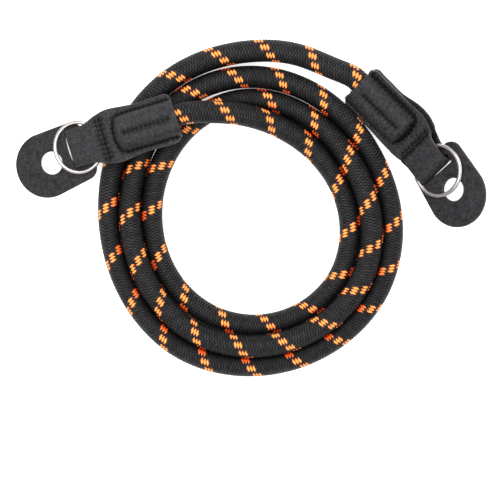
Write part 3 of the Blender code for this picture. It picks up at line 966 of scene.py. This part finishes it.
def rope_route():
    """Fine points of the rope's middle, from its end in the left sleeve to its end in the
    right one, and how far round the coil each lies, in degrees."""
    depths = (0.5 * ROPE_IN_SLEEVE, 0.0, -ROPE_STRAIGHT_PAST_MOUTH)
    points = sleeve_points("left", depths)
    points += [coil_point(*row) for row in FIRST_STRETCH]
    points += [coil_point(row[0], row[1], FIRST_TURN_LIFTS.get(row[0], 0.0)) for row in COIL_TURNS]
    points += [coil_point(row[0], row[2], squeezed_lift(*row)) for row in COIL_TURNS]
    points += [coil_point(row[0], row[3], 0.0) for row in COIL_TURNS]
    points += [coil_point(*row) for row in LAST_STRETCH]
    points += sleeve_points("right", depths[::-1])
    curve = smooth_curve(points, ROUTE_POINTS_PER_SPAN)
    curve[:, 2] = np.maximum(curve[:, 2], ROPE_DIAMETER / 2)
    left, right = (sleeve_points(side, (ROPE_IN_SLEEVE,)) for side in ENDS)
    curve = np.concatenate((left, curve, right))
    aside = curve[:, :2] - np.array(COIL_MIDDLE)
    return curve, -np.degrees(np.unwrap(np.arctan2(aside[:, 1], aside[:, 0])))


def windings_at(curve, turned):
    """Tracer windings and the braid's twist at each point of the route, both in whole turns,
    and the length up to there. Beyond the table's ends the windings go on at their mean rate."""
    length = np.concatenate(([0.0], np.cumsum(np.linalg.norm(np.diff(curve, axis=0), axis=1))))
    table = np.array(TRACER_WINDINGS)
    at = np.interp(table[:, 0], turned, length)
    rate = (table[-1, 1] - table[0, 1]) / (at[-1] - at[0])
    windings = eased(length, at, table[:, 1])
    windings += np.minimum(length - at[0], 0.0) * rate + np.maximum(length - at[-1], 0.0) * rate
    twist = np.array(BRAID_TWIST)
    twist = -eased(turned, twist[:, 0], twist[:, 1]) / 360.0
    return windings - twist, twist, length


def braid_height(u, v):
    """The braid's height from 0 to 1 at u round the rope and v along it: that of the higher of
    the two strands there."""
    return np.maximum(*(braid_strands(u, v, CARRIERS, way)[3] for way in (1.0, -1.0)))


def closeness(points, middle, aside, at, curve, length):
    """How near the rope's points lie to another of its turns, from 0 to 1: exp(-(g/r)^2) for
    the gap g to the nearest other turn on either side."""
    step = curve[None] - middle[:, None]
    sideways = np.einsum("knx,kx->kn", step, aside)
    away = np.linalg.norm(step, axis=2)
    other = np.abs(length[None] - at[:, None]) > OTHER_TURN_FROM
    near = []
    for way in (-1.0, 1.0):
        found = np.argmin(np.where(other & (way * sideways > 0), away, np.inf), axis=1)
        gap = np.linalg.norm(points - curve[found][:, None], axis=2) - ROPE_DIAMETER / 2
        near.append(np.exp(-(np.maximum(gap, 0.0) / CREVICE_REACH)**2))
    return np.maximum(*near)


def braid_tube(curve, windings, twist, length, first, last, diameter, relief):
    """Tube round the route between two tracer windings: point (k, j) lies at the radius
    R + relief (h - 1/2) from the route's point k, at the angle 2 pi (j / sides + twist) from
    its top, where h is the braid's height there."""
    count = int(round((last - first) * CELLS_PER_WINDING)) + 1
    v = np.linspace(first, last, count)
    middle = points_at(v, windings, curve)
    ahead = unit(np.gradient(middle, axis=0))
    aside = unit(np.cross((0.0, 0.0, 1.0), ahead))
    up = np.cross(ahead, aside)
    u = np.arange(SIDES) / SIDES
    angle = 2 * math.pi * (u[None, :] + 0.25 + np.interp(v, windings, twist)[:, None])
    height = braid_height(u[None, :], v[:, None])
    radius = diameter / 2 + relief * (height - 0.5)
    direction = np.cos(angle)[..., None] * aside[:, None] + np.sin(angle)[..., None] * up[:, None]
    points = middle[:, None] + radius[..., None] * direction
    # Painted shade: how near each point lies to another turn of the rope
    crevice = closeness(points, middle, aside, np.interp(v, windings, length), curve, length)
    crevice = np.concatenate((crevice.ravel(), (1.0, 1.0)))
    quads = grid_quads(count, SIDES)
    points = np.concatenate((points.reshape(-1, 3), middle[[0, -1]]))
    first_loop = np.arange(SIDES)
    last_loop = first_loop + (count - 1) * SIDES
    caps = np.concatenate((
        loop_fan(first_loop[::-1], count * SIDES),
        loop_fan(last_loop, count * SIDES + 1),
    ))
    k, j = np.meshgrid(np.arange(count - 1), np.arange(SIDES), indexing="ij")
    corner_u = np.stack((j, j + 1, j + 1, j), axis=-1) / SIDES
    corner_v = np.stack((v[k], v[k], v[k + 1], v[k + 1]), axis=-1)
    uv = np.stack((corner_u, corner_v), axis=-1).reshape(-1, 2)
    return points, quads, caps, np.concatenate((uv, np.zeros((caps.size, 2)))), {"crevice": crevice}


class STRAP_OT_add_rope(bpy.types.Operator):
    """Add the braided rope along its coil, with its core"""

    bl_idname = "strap.add_rope"
    bl_label = "Add Rope"

    def execute(self, context):
        settings = context.scene.strap_rope
        curve, turned = rope_route()
        windings, twist, length = windings_at(curve, turned)
        joints = np.round(np.interp(BRAID_JOINTS_DEG, turned, windings))
        stops = (windings[0], *joints, windings[-1])
        finish = finish_of("braided_rope", "braided_cover", rope_material, settings)
        for number, span in enumerate(zip(stops[:-1], stops[1:]), 1):
            points, quads, caps, uv, marks = braid_tube(
                curve, windings, twist, length, *span, settings.diameter, settings.relief
            )
            add_piece(f"braid_{number}", points, quads, caps, finish, corner_uv=uv, marks=marks)
        core = self.add_core(curve, length, settings)
        tuple(sleeve_points("left", (0.0,))[0])
        return {"FINISHED"}

    def add_core(self, curve, length, settings):
        """Tube inside the braid, on points at even steps along the route."""
        count = int(length[-1] / CORE_STEP)
        points = points_at(np.linspace(0.0, length[-1], count), length, curve)
        data = bpy.data.curves.new("rope_core", "CURVE")
        data.dimensions = "3D"
        data.twist_mode = "Z_UP"
        data.bevel_depth = CORE_SHARE * settings.diameter / 2
        data.bevel_resolution = 2
        data.use_fill_caps = True
        spline = data.splines.new("POLY")
        spline.points.add(count - 1)
        spline.points.foreach_set("co", np.column_stack((points, np.ones(count))).ravel())
        slot_name, material = finish_of("braided_rope", "rope_yarn", core_material, settings)
        data.materials.append(material)
        return dress(add_object("rope_core", data), ("rope",))


def strip_points(end, pitch, place, turn, offset):
    """Points of the folded strip's middle surface, in the end's frame. A point lies at its
    place along, plus the fold's reach LOOP_HEIGHT sin(turn), at its offset across, and at the
    strip's height times cos(turn). The whole is then bent by pitch."""
    height = strip_height(end, place, offset) * np.cos(turn)
    reach = place + LOOP_HEIGHT * np.sin(turn)
    angle = bend_angle(reach, pitch)
    along, rise = bend_line(reach, pitch)
    along = along - height * np.sin(angle)
    return np.stack((along, offset, rise + height * np.cos(angle)), axis=-1)


def seam_closeness(end, place, offset):
    """How close a point of the strip is to a seam, from 0 to 1, and the ripple that the
    stitches draw in the leather there. With w = -cos(2 pi n) at n stitches along a seam, the
    closeness is a bell curve of the distance over the seam's width, which swells by the share
    SEAM_SWELL w, less its share SEAM_BREAK (1 - w) between the stitches."""
    def seam(distance, value, low, high, length):
        """Closeness and ripple at a distance from a seam that runs from low to high."""
        count = int(length / STITCH_PITCH)
        wave = -np.cos(2 * math.pi * count * (value - low) / (high - low))
        bell = np.exp(-(distance / SEAM_WIDTH / (1 + SEAM_SWELL * wave))**2)
        fade = SEAM_FADE * (high - low) / length
        bell *= smooth_step((value - low) / fade + 1.0) * smooth_step((high - value) / fade + 1.0)
        return bell * (1 - SEAM_BREAK * (1 - wave)), bell * wave

    across = offset - end["seam_shift"]
    share = across / SEAM_HALF_SPACING
    to_end_seam = place - end_seam_place(end, np.clip(share, -1.1, 1.1))
    width = end["tack_half_width"]
    side, middle = end["side_seam"], end["middle_seam"]
    found = [
        seam(np.abs(across) - SEAM_HALF_SPACING, place, *side, side[1] - side[0]),
        seam(across / end["middle_spread"], place, *middle, middle[1] - middle[0]),
        seam(to_end_seam, share, -1.0, 1.0, 2 * SEAM_HALF_SPACING),
    ]
    found += [seam(place - tack, across, -width, width, 2 * width) for tack in end["tacks"]]
    near, ripple = np.array(found).transpose(1, 0, 2, 3)
    return near.max(axis=0), ripple.sum(axis=0)


def sleeve_wave(place, offset):
    """Slow waves of a sleeve's face, and finer creases past the rope's end: each the product
    of a sine and a cosine of the place and offset."""
    slow = np.sin(760 * place + 300 * offset + 1.3) * np.cos(520 * offset - 260 * place)
    fine = np.sin(2300 * offset + 700 * place + 2.0 * np.sin(500 * place))
    fine = fine * np.cos(900 * place - 600 * offset) * smooth_step((place - ROPE_IN_SLEEVE) / 0.006)
    return SLEEVE_WAVE * slow + SLEEVE_CREASE * fine


def sleeve_mesh(side):
    """Folded leather strip. Its middle surface is worked out on a grid of places along the
    strip and shares across, and its two faces lie on either side of that by half the leather,
    less the seams' grooves and the rounding of the edges: half sqrt(1 - (1 - e/r)^2)."""
    end = ENDS[side]
    fold = fold_middle(end)
    near = MOUTH_STRETCH * (1 - np.cos(np.linspace(0, math.pi / 2, MOUTH_POINTS, endpoint=False)))
    panel = np.concatenate((near, np.linspace(MOUTH_STRETCH, fold, PANEL_POINTS, endpoint=False)))
    bend = np.linspace(0.0, math.pi, FOLD_POINTS)
    place = np.concatenate((panel, np.full(FOLD_POINTS, fold), panel[::-1]))
    turn = np.concatenate((0.0 * panel, bend, 0.0 * panel + math.pi))
    across = np.sin(ACROSS_SPREAD * np.linspace(-1.0, 1.0, ACROSS_POINTS)) / math.sin(ACROSS_SPREAD)
    place, across = np.meshgrid(place, across, indexing="ij")
    turn = np.broadcast_to(turn[:, None], place.shape)
    half_width, shift = sleeve_shape(end, place)
    offset = across * half_width + shift
    offset += under_reach(end, place) * np.maximum(across, 0.0) * smooth_step(turn / math.pi)
    middle = strip_points(end, end_pitch(side), place, turn, offset)
    outward = unit(np.cross(np.gradient(middle, axis=0), np.gradient(middle, axis=1)))
    to_edge = np.minimum((1 - np.abs(across)) * half_width, place)
    rounding = np.sqrt(np.maximum(1 - (1 - np.clip(to_edge / EDGE_ROUND, 0, 1))**2, 0.0))
    half = LEATHER / 2 * (EDGE_SHARE + (1 - EDGE_SHARE) * rounding)
    seams, ripple = seam_closeness(end, place, offset)
    outer_half = half - SEAM_DEPTH * seams + PUCKER * ripple
    outer_half += sleeve_wave(place, offset) * (1 - seams) * rounding
    faces = [middle + outward * outer_half[..., None], middle - outward * half[..., None]]
    rows, columns = place.shape
    count = rows * columns
    face = grid_quads(rows, columns, closed=False)
    numbers = np.arange(count).reshape(rows, columns)
    quads = [face, face[:, ::-1] + count]
    for line in (numbers[0], numbers[-1][::-1], numbers[:, 0][::-1], numbers[:, -1]):
        quads.append(np.stack((line[:-1], line[:-1] + count, line[1:] + count, line[1:]), axis=-1))
    none = np.zeros(count)
    marks = {
        "cut_edge": np.concatenate((smooth_step(1.4 - to_edge / EDGE_ROUND).ravel(), none)),
        # Closeness to a seam: the groove's depth, and painted shade along it in the colour
        "seam": np.concatenate((seams.ravel(), none)),
        # The inner face, coloured darker, partly as painted shade
        "inside": np.concatenate((none, none + 1.0)),
    }
    points = np.reshape(faces, (-1, 3))
    return placed(points, end_matrix(side)), np.concatenate(quads), (), marks


class STRAP_OT_add_sleeves(bpy.types.Operator):
    """Add the two folded and sewn leather sleeves"""

    bl_idname = "strap.add_sleeves"
    bl_label = "Add Sleeves"

    def execute(self, context):
        settings = context.scene.strap_leather
        finish = finish_of("black_leather", "sleeve_leather", sleeve_leather, settings)
        add_pair("leather_sleeve", sleeve_mesh, finish, "sleeve")
        return {"FINISHED"}


def stitch_lines(end):
    """The seams of one face, as lines of (place, offset) from one end to the other."""
    steps = np.linspace(0.0, 1.0, 200)
    share = 2.0 * steps - 1.0
    half, width = SEAM_HALF_SPACING, end["tack_half_width"]
    lines = []
    for span, across in (("side_seam", -half), ("side_seam", half), ("middle_seam", 0.0)):
        first, last = end[span]
        lines.append((first + (last - first) * steps, across + 0 * steps))
    lines.append((end_seam_place(end, share), share * half))
    lines += [(tack + 0 * steps, share * width) for tack in end["tacks"]]
    return [np.stack((place, end["seam_shift"] + offset), axis=1) for place, offset in lines]


def stitch_ends(line):
    """Start and end of each stitch on a line of (place, offset), at the thread's own pitch and
    slanting across the line."""
    length = np.concatenate(([0.0], np.cumsum(np.linalg.norm(np.diff(line, axis=0), axis=1))))
    count = max(int(length[-1] / STITCH_PITCH), 1)
    middle = (np.arange(count) + 0.5) * length[-1] / count
    half = STITCH_LENGTH / 2
    first, last = (points_at(middle + step, length, line) for step in (-half, half))
    across = STITCH_SLANT * unit(last - first)[:, ::-1] * np.array((-1.0, 1.0))
    return first - across, last + across


def stitches_mesh(side):
    """All stitches of one end. Each is a thick thread bowed out of the leather: at the share t
    from -1 to 1 of its length and the angle p round it, its point lies t/2 of the length along,
    r sin(p) across and r cos(p) + (0.35 (1 - t^2) - 0.1) w above the groove's floor, where w is
    the thread's width and its radius r closes in to its ends as w/2 sqrt(1 - t^4)."""
    end = ENDS[side]
    pitch = end_pitch(side)
    first, last = np.concatenate([stitch_ends(line) for line in stitch_lines(end)], axis=1)
    steps = 1e-4 * np.array(((-1, 0), (1, 0), (0, -1), (0, 1)))
    t = np.sin(np.linspace(-math.pi / 2, math.pi / 2, STITCH_ROWS))[:, None]
    p = np.linspace(0, 2 * math.pi, STITCH_SIDES, endpoint=False)
    radius = THREAD_WIDTH / 2 * np.sqrt(np.maximum(1 - t**4, 0.0025))
    bow = ((1 - t**2) * 0.35 - 0.1) * THREAD_WIDTH
    section = np.stack((t + 0 * p, radius * np.sin(p), radius * np.cos(p) + bow), axis=-1)
    all_points = []
    for turn in (0.0, math.pi):
        start, stop = (strip_points(end, pitch, at[:, 0], turn, at[:, 1]) for at in (first, last))
        place, offset = ((first + last) / 2).T
        back, front, right, left = (
            strip_points(end, pitch, place + ahead, turn, offset + aside) for ahead, aside in steps
        )
        normal = unit(np.cross(front - back, left - right)) * (-1.0 if turn else 1.0)
        middle = (start + stop) / 2 + normal * (LEATHER / 2 - SEAM_DEPTH)
        ahead = (stop - start) / 2
        axes = np.stack((ahead, unit(np.cross(normal, ahead)), normal), axis=1)
        all_points.append(middle[:, None, None] + np.einsum("rsi,nij->nrsj", section, axes))
    points = np.concatenate(all_points)
    loop = np.arange(STITCH_SIDES)
    caps = (loop_strip(loop), loop_strip(loop + (STITCH_ROWS - 1) * STITCH_SIDES)[:, ::-1])
    quads = np.concatenate((grid_quads(STITCH_ROWS, STITCH_SIDES)[:, ::-1], *caps))
    starts = STITCH_ROWS * STITCH_SIDES * np.arange(len(points))[:, None, None]
    quads = (quads[None] + starts).reshape(-1, 4)
    return placed(points.reshape(-1, 3), end_matrix(side)), quads, (), None


def loop_strip(loop):
    """Quads that close a loop of an even number of points, strip by strip across it."""
    half = len(loop) // 2
    left, right = loop[:half], loop[::-1][:half]
    return np.stack((left[:-1], left[1:], right[1:], right[:-1]), axis=-1)


class STRAP_OT_add_stitches(bpy.types.Operator):
    """Add the sewing thread of both sleeves"""

    bl_idname = "strap.add_stitches"
    bl_label = "Add Stitches"

    def execute(self, context):
        settings = context.scene.strap_leather
        finish = finish_of("black_leather", "black_thread", thread_material, settings)
        add_pair("stitches", stitches_mesh, finish)
        return {"FINISHED"}


def wire_section():
    """Rounded section of the wire: |x/w|^n + |z/t|^n = 1, point by point round it."""
    angle = np.linspace(0, 2 * math.pi, RING_SIDES, endpoint=False)
    x, z = np.cos(angle), np.sin(angle)
    stretch = (np.abs(x)**WIRE_POWER + np.abs(z)**WIRE_POWER)**(-1 / WIRE_POWER) / 2
    return RING_WIRE_WIDTH * stretch * x, RING_WIRE_THICKNESS * stretch * z


def ring_place(end):
    """Place of the ring's middle: clear of the closed loop and round the fold's corners."""
    loop_from = ROPE_IN_SLEEVE + LOOP_FREE_SHARE * (fold_middle(end) - ROPE_IN_SLEEVE)
    inner = RING_DIAMETER / 2 - RING_WIRE_WIDTH
    corner = TONGUE_WIDTH / 2 + abs(end["ring_aside"])
    round_fold = fold_tip(end) + FIT_GAP - math.sqrt(max(inner**2 - corner**2, 0.0))
    return max(loop_from + RING_DIAMETER / 2, round_fold) + end["ring_pulled_out"]


def ring_mesh(side):
    """Split ring: the wire's section carried twice round a circle, with a smooth step up by
    one coil halfway. Its two end faces close in over the last stretch."""
    end = ENDS[side]
    radius = (RING_DIAMETER - RING_WIRE_WIDTH) / 2
    gap = RING_END_GAP_DEG
    turned = np.linspace(gap, 720.0 - gap, RING_POINTS)[:, None]
    step_up = 2.0 * smooth_step((turned - 360.0 + gap) / (2 * gap)) - 1.0
    number = np.arange(RING_POINTS)[:, None]
    to_end = np.clip(np.minimum(number, RING_POINTS - 1 - number) / 2.0, 0, 1)
    shrink = WIRE_END_SHARE + (1 - WIRE_END_SHARE) * np.sqrt(1 - (1 - to_end)**2)
    angle = np.radians(turned + 180.0)
    x, z = wire_section()
    out = radius + x * shrink
    height = (RING_WIRE_THICKNESS + RING_COIL_GAP) / 2 * step_up + z * shrink
    points = np.stack((out * np.cos(angle), out * np.sin(angle), height), axis=-1)
    loop = np.arange(RING_SIDES)
    caps = (loop_strip(loop), loop_strip(loop + (RING_POINTS - 1) * RING_SIDES)[:, ::-1])
    quads = np.concatenate((grid_quads(RING_POINTS, RING_SIDES)[:, ::-1], *caps))
    place = (ring_place(end) - BEND_TO, end["ring_aside"], RING_MIDDLE_HEIGHT)
    carried = loop_matrix(side) @ Matrix.Translation(place)
    return placed(points.reshape(-1, 3), carried), quads, (), None


class STRAP_OT_add_rings(bpy.types.Operator):
    """Add the two split rings"""

    bl_idname = "strap.add_rings"
    bl_label = "Add Rings"

    def execute(self, context):
        settings = context.scene.strap_steel
        finish = finish_of("steel", "polished_steel", steel_material, settings)
        add_pair("split_ring", ring_mesh, finish, "ring")
        return {"FINISHED"}


def arc_points(middle, radius, from_deg, to_deg, count):
    """Points along an arc, both ends included."""
    angle = np.radians(np.linspace(from_deg, to_deg, count))
    return np.asarray(middle) + radius * np.stack((np.cos(angle), np.sin(angle)), axis=1)


def joined(arcs, counts):
    """Closed outline of arcs, each joined to the next by a straight run of points."""
    pieces = []
    for arc, following, count in zip(arcs, arcs[1:] + arcs[:1], counts):
        share = np.linspace(0.0, 1.0, count + 2)[1:-1, None]
        pieces += [arc, arc[-1] + share * (following[0] - arc[-1])]
    return np.concatenate(pieces)


def turned_by(angle):
    """Matrix that turns rows of (x, y) by an angle."""
    cos, sin = math.cos(angle), math.sin(angle)
    return np.array(((cos, sin), (-sin, cos)))


def pad_outline(inset):
    """The pad's outline about its hole, moved in by inset: a round end and rounded base corners."""
    half, side = PAD_WIDTH / 2, PAD_BASE_WIDTH / 2 - PAD_CORNER
    base = PAD_CORNER - PAD_BASE_TO_HOLE
    lean = math.degrees(math.atan2(half - PAD_BASE_WIDTH / 2, PAD_HOLE_TO_TIP + PAD_BASE_TO_HOLE))
    arcs = [
        arc_points((PAD_HOLE_TO_TIP - half, 0.0), half - inset, lean - 90, lean + 90, TIP_POINTS),
        arc_points((base, side), PAD_CORNER - inset, 90 + lean, 180, CORNER_POINTS),
        arc_points((base, -side), PAD_CORNER - inset, 180, 270 - lean, CORNER_POINTS),
    ]
    return joined(arcs, SIDE_POINTS)


def hole_outline(inset):
    """Outline of the round hole, moved out by inset."""
    last_deg = 360 - 360 / HOLE_POINTS
    return arc_points((0.0, 0.0), PAD_HOLE_DIAMETER / 2 + inset, 0, last_deg, HOLE_POINTS)


def slot_reach():
    """The inner edge of the pad's slot and the outer one, from the hole along the tongue."""
    swing = max(abs(math.sin(math.radians(end["pad_turn_deg"]))) for end in ENDS.values())
    low = LOOP_GAP / 2 - FIT_GAP
    inner = math.sqrt((LOOP_GAP / 2)**2 - low**2) - LOOP_HEIGHT - LEATHER / 2 - FIT_GAP
    inner -= TONGUE_WIDTH / 2 * swing
    return inner - PAD_HOLE_PAST_FOLD, SLOT_PAST_FOLD - PAD_HOLE_PAST_FOLD


def pad_place(end):
    """Place of the pad's hole in the loop's frame, and the pad's turn, about its slot's middle."""
    slot_middle = sum(slot_reach()) / 2
    turn = math.radians(end["pad_turn_deg"])
    along = hole_place(end) + slot_middle - BEND_TO - slot_middle * math.cos(turn)
    return (along, end["pad_aside"] - slot_middle * math.sin(turn)), turn


def slot_frame(end):
    """Middle and turn of the shown slot in the pad's own frame, and half its length. The slot
    lies along the fold of the tongue that runs through it."""
    place, turn = pad_place(end)
    inner = hole_place(end) + slot_reach()[0] - BEND_TO
    outer = fold_tip(end) + SHOWN_SLOT_PAST_FOLD - BEND_TO
    middle = np.array(((inner + outer) / 2 - place[0], end["edge_shift"] - place[1]))
    turned = math.radians(end["slot_turn_deg"]) - turn
    return middle @ turned_by(-turn), turned, (outer - inner) / 2


def slot_bow(end, y, half_length):
    """How far the slot's outer edge bows out at y, and that as a share of the slot's width."""
    bow = end["slot_bow"] * np.maximum(1.0 - (2.0 * y / TONGUE_WIDTH)**2, 0.0)
    return bow, bow / (2.0 * half_length)


def slot_outline(end, inset):
    """Outline of the slot in the pad's own frame, moved out by inset: a rounded rectangle, whose
    points at x from -h to h are moved by the bow times (x + h) / 2h."""
    middle, turn, half_length = slot_frame(end)
    x, y = half_length - SLOT_CORNER, TONGUE_WIDTH / 2 + SHOWN_SLOT_END_GAP - SLOT_CORNER
    radius, count = SLOT_CORNER + inset, SLOT_CORNER_POINTS
    corners = [
        arc_points((x * right, y * up), radius, from_deg, from_deg + 90, count)
        for right, up, from_deg in ((1, 1, 0), (-1, 1, 90), (-1, -1, 180), (1, -1, 270))
    ]
    points = joined(corners, SLOT_SIDE_POINTS)
    bow, share = slot_bow(end, points[:, 1], half_length)
    points[:, 0] = points[:, 0] * (1.0 + share) + bow / 2.0
    return points @ turned_by(turn) + middle


def within_slot(end, points, margin):
    """Whether points of the pad's own frame lie in the slot, or nearer to it than a margin."""
    middle, turn, half_length = slot_frame(end)
    local = (points - middle) @ turned_by(-turn)
    bow, share = slot_bow(end, local[:, 1], half_length)
    local[:, 0] = (local[:, 0] - bow / 2.0) / (1.0 + share)
    reach = np.array((half_length, TONGUE_WIDTH / 2 + SHOWN_SLOT_END_GAP)) - SLOT_CORNER
    return np.linalg.norm(np.maximum(np.abs(local) - reach, 0.0), axis=1) < SLOT_CORNER + margin


def pad_wave(x, y):
    """Slow waves of the pad's face, for leather that isn't quite flat: the sum of a sine times
    a cosine and of a finer sine."""
    return PAD_WAVE * (np.sin(210 * x + 0.7) * np.cos(160 * y) + 0.6 * np.sin(330 * y + 180 * x))


def pad_face(end, loops, inset):
    """Flat net between an outline, a hole and a slot: the outlines' own points, and others
    in staggered rows inside, joined by Delaunay triangles that leave the openings out."""
    outline, hole, _ = loops
    step = PAD_NET_STEP
    clear = 0.6 * step
    rows = np.arange(-PAD_WIDTH / 2, PAD_WIDTH / 2, step * 0.87)
    columns = np.arange(-PAD_BASE_TO_HOLE, PAD_HOLE_TO_TIP, step)
    y, x = np.meshgrid(rows, columns, indexing="ij")
    x = x + 0.5 * step * (np.arange(len(rows)) % 2)[:, None]
    inside = np.stack((x.ravel(), y.ravel()), axis=1)
    along = np.roll(outline, -1, axis=0) - outline
    away = inside[:, None] - outline[None]
    turned_in = along[None, :, 0] * away[..., 1] - along[None, :, 1] * away[..., 0]
    keep = (turned_in / np.linalg.norm(along, axis=1)).min(axis=1) > clear
    keep &= np.hypot(*inside.T) > np.hypot(*hole[0]) + clear
    keep &= ~within_slot(end, inside, inset + clear)
    points = np.concatenate((*loops, inside[keep]))
    edges = []
    start = 0
    for loop in loops:
        numbers = start + np.arange(len(loop))
        edges += np.stack((numbers, np.roll(numbers, -1)), axis=1).tolist()
        start += len(loop)
    made = delaunay_2d_cdt(points.tolist(), edges, [list(range(len(outline)))], 1, 1e-9)
    net = np.array([tuple(point) for point in made[0]])
    triangles = np.array([tuple(face) for face in made[2]])
    middle = net[triangles].mean(axis=1)
    in_hole = np.hypot(*middle.T) < np.hypot(*hole[0]) * math.cos(math.pi / len(hole))
    return net, triangles[~(in_hole | within_slot(end, middle, inset - 1e-5))]


def pad_mesh(side):
    """Loose pad: two flat nets, one for each face, joined round the outline and both openings
    by a rounded edge, whose inset is r (1 - cos a) and whose height is h - r (1 - sin a)."""
    end = ENDS[side]
    half = PAD_THICKNESS / 2
    angle = np.linspace(math.pi / 2, 0, 6)
    inset = PAD_EDGE_ROUND * (1 - np.cos(angle))
    level = half - PAD_EDGE_ROUND * (1 - np.sin(angle))
    inset = np.concatenate((inset, inset[::-1]))
    level = np.concatenate((level, -level[::-1]))
    outlines = (pad_outline, hole_outline, lambda moved: slot_outline(end, moved))
    net, triangles = pad_face(end, [outline(inset[0]) for outline in outlines], inset[0])
    points = [np.column_stack((net, np.full(len(net), z))) for z in (half, -half)]
    start = 2 * len(net)
    edge = [np.zeros(start)]
    quads = []
    for outline in outlines:
        loops = np.stack([outline(moved) for moved in inset])
        rows, columns = loops.shape[:2]
        strip = grid_quads(rows, columns) + start
        quads.append(strip[:, ::-1] if outline is pad_outline else strip)
        heights = np.repeat(level, columns)
        points.append(np.column_stack((loops.reshape(-1, 2), heights)))
        edge.append(np.repeat(smooth_step(1.2 * (1 - inset / PAD_EDGE_ROUND)), columns))
        start += rows * columns
    points = np.concatenate(points)
    points[:, 2] += pad_wave(points[:, 0], points[:, 1])
    place, turn = pad_place(end)
    carried = loop_matrix(side) @ Matrix.Translation((*place, PAD_MIDDLE_HEIGHT))
    carried = carried @ Matrix.Rotation(turn, 4, "Z")
    triangles = np.concatenate((triangles, triangles[:, ::-1] + len(net)))
    marks = {"cut_edge": np.concatenate(edge)}
    return placed(points, carried), np.concatenate(quads), triangles, marks


class STRAP_OT_add_pads(bpy.types.Operator):
    """Add the two loose leather pads"""

    bl_idname = "strap.add_pads"
    bl_label = "Add Pads"

    def execute(self, context):
        settings = context.scene.strap_leather
        finish = finish_of("black_leather", "pad_leather", pad_leather, settings)
        add_pair("leather_pad", pad_mesh, finish, "pad")
        return {"FINISHED"}


class STRAP_OT_add_stage(bpy.types.Operator):
    """Add the floor, the soft lights and the camera"""

    bl_idname = "strap.add_stage"
    bl_label = "Add Stage"

    def execute(self, context):
        settings = context.scene.strap_stage
        scene = context.scene
        scene.view_settings.view_transform = "Standard"
        self.add_floor(settings)
        for name, (place, size) in LIGHTS.items():
            self.add_light(name, place, size, getattr(settings, f"{name}_power"))
        world = bpy.data.worlds.new("studio")
        world.use_nodes = True
        background = world.node_tree.nodes["Background"]
        background.inputs["Color"].default_value = WHITE
        background.inputs["Strength"].default_value = settings.world_strength
        scene.world = world
        scene.camera = self.add_camera()
        return {"FINISHED"}

    def add_floor(self, settings):
        """Plain floor, a little below the rope's lowest strands."""
        corners = FLOOR_HALF * np.array(((-1, -1), (1, -1), (1, 1), (-1, 1)))
        points = np.column_stack((corners, np.full(4, FLOOR_HEIGHT)))
        mesh = bpy.data.meshes.new("floor")
        fill_mesh(mesh, points, [(0, 1, 2, 3)], ())
        material, tree, shader = new_material("pale_floor", 0.9, 0.1)
        dull, pale = rgba(settings.floor_colour, 0.985), rgba(settings.floor_colour)
        feed(shader.inputs["Base Color"], mix_colour(tree, speckle(tree, FLOOR_SPOTS), dull, pale))
        shader.inputs["Emission Color"].default_value = WHITE
        shader.inputs["Emission Strength"].default_value = settings.floor_glow
        mesh.materials.append(material)
        floor = add_object("floor", mesh)

    def add_light(self, name, place, size, power):
        """Square soft light that points at the strap."""
        data = bpy.data.lights.new(name, "AREA")
        data.shape = "SQUARE"
        data.size = size
        data.energy = power
        light = add_object(name, data)
        light.location = place
        light.rotation_euler = (-light.location).to_track_quat("-Z", "Y").to_euler()

    def add_camera(self):
        """Camera straight above, whose view is as wide as the photograph."""
        data = bpy.data.cameras.new("camera")
        data.sensor_width = 1000 * SENSOR_WIDTH
        view_width = PHOTO_PIXELS * METRES_PER_PIXEL
        data.lens = 1000 * SENSOR_WIDTH * CAMERA_DISTANCE / view_width
        data.clip_end = 10.0
        camera = add_object("camera", data)
        camera.location = (*PHOTO_MIDDLE, CAMERA_DISTANCE)
        return camera


class STRAP_PT_panel(bpy.types.Panel):
    """Strap settings and pieces"""

    bl_idname = "STRAP_PT_panel"
    bl_label = "Rope Camera Strap"
    bl_space_type = "VIEW_3D"
    bl_region_type = "UI"
    bl_category = "Strap"

    def draw(self, context):
        for group in GROUPS:
            box = self.layout.box()
            settings = getattr(context.scene, group)
            for name in settings.__annotations__:
                box.prop(settings, name)
        for operator in OPERATORS:
            self.layout.operator(operator.bl_idname)


GROUPS = {
    "strap_rope": StrapRope,
    "strap_leather": StrapLeather,
    "strap_steel": StrapSteel,
    "strap_stage": StrapStage,
}
OPERATORS = (
    STRAP_OT_add_stage,
    STRAP_OT_add_rope,
    STRAP_OT_add_sleeves,
    STRAP_OT_add_stitches,
    STRAP_OT_add_rings,
    STRAP_OT_add_pads,
)


def register():
    """Register the settings, the operators and the panel."""
    for name, group in GROUPS.items():
        bpy.utils.register_class(group)
        setattr(bpy.types.Scene, name, PointerProperty(type=group))
    for kind in (*OPERATORS, STRAP_PT_panel):
        bpy.utils.register_class(kind)


def unregister():
    """Take the panel, the operators and the settings away again."""
    for kind in (STRAP_PT_panel, *reversed(OPERATORS)):
        bpy.utils.unregister_class(kind)
    for name, group in reversed(GROUPS.items()):
        delattr(bpy.types.Scene, name)
        bpy.utils.unregister_class(group)


def main():
    """Register the add-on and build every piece."""
    register()
    bpy.ops.strap.add_stage()
    bpy.ops.strap.add_rope()
    bpy.ops.strap.add_sleeves()
    bpy.ops.strap.add_stitches()
    bpy.ops.strap.add_rings()
    bpy.ops.strap.add_pads()


if __name__ == "__main__":
    main()
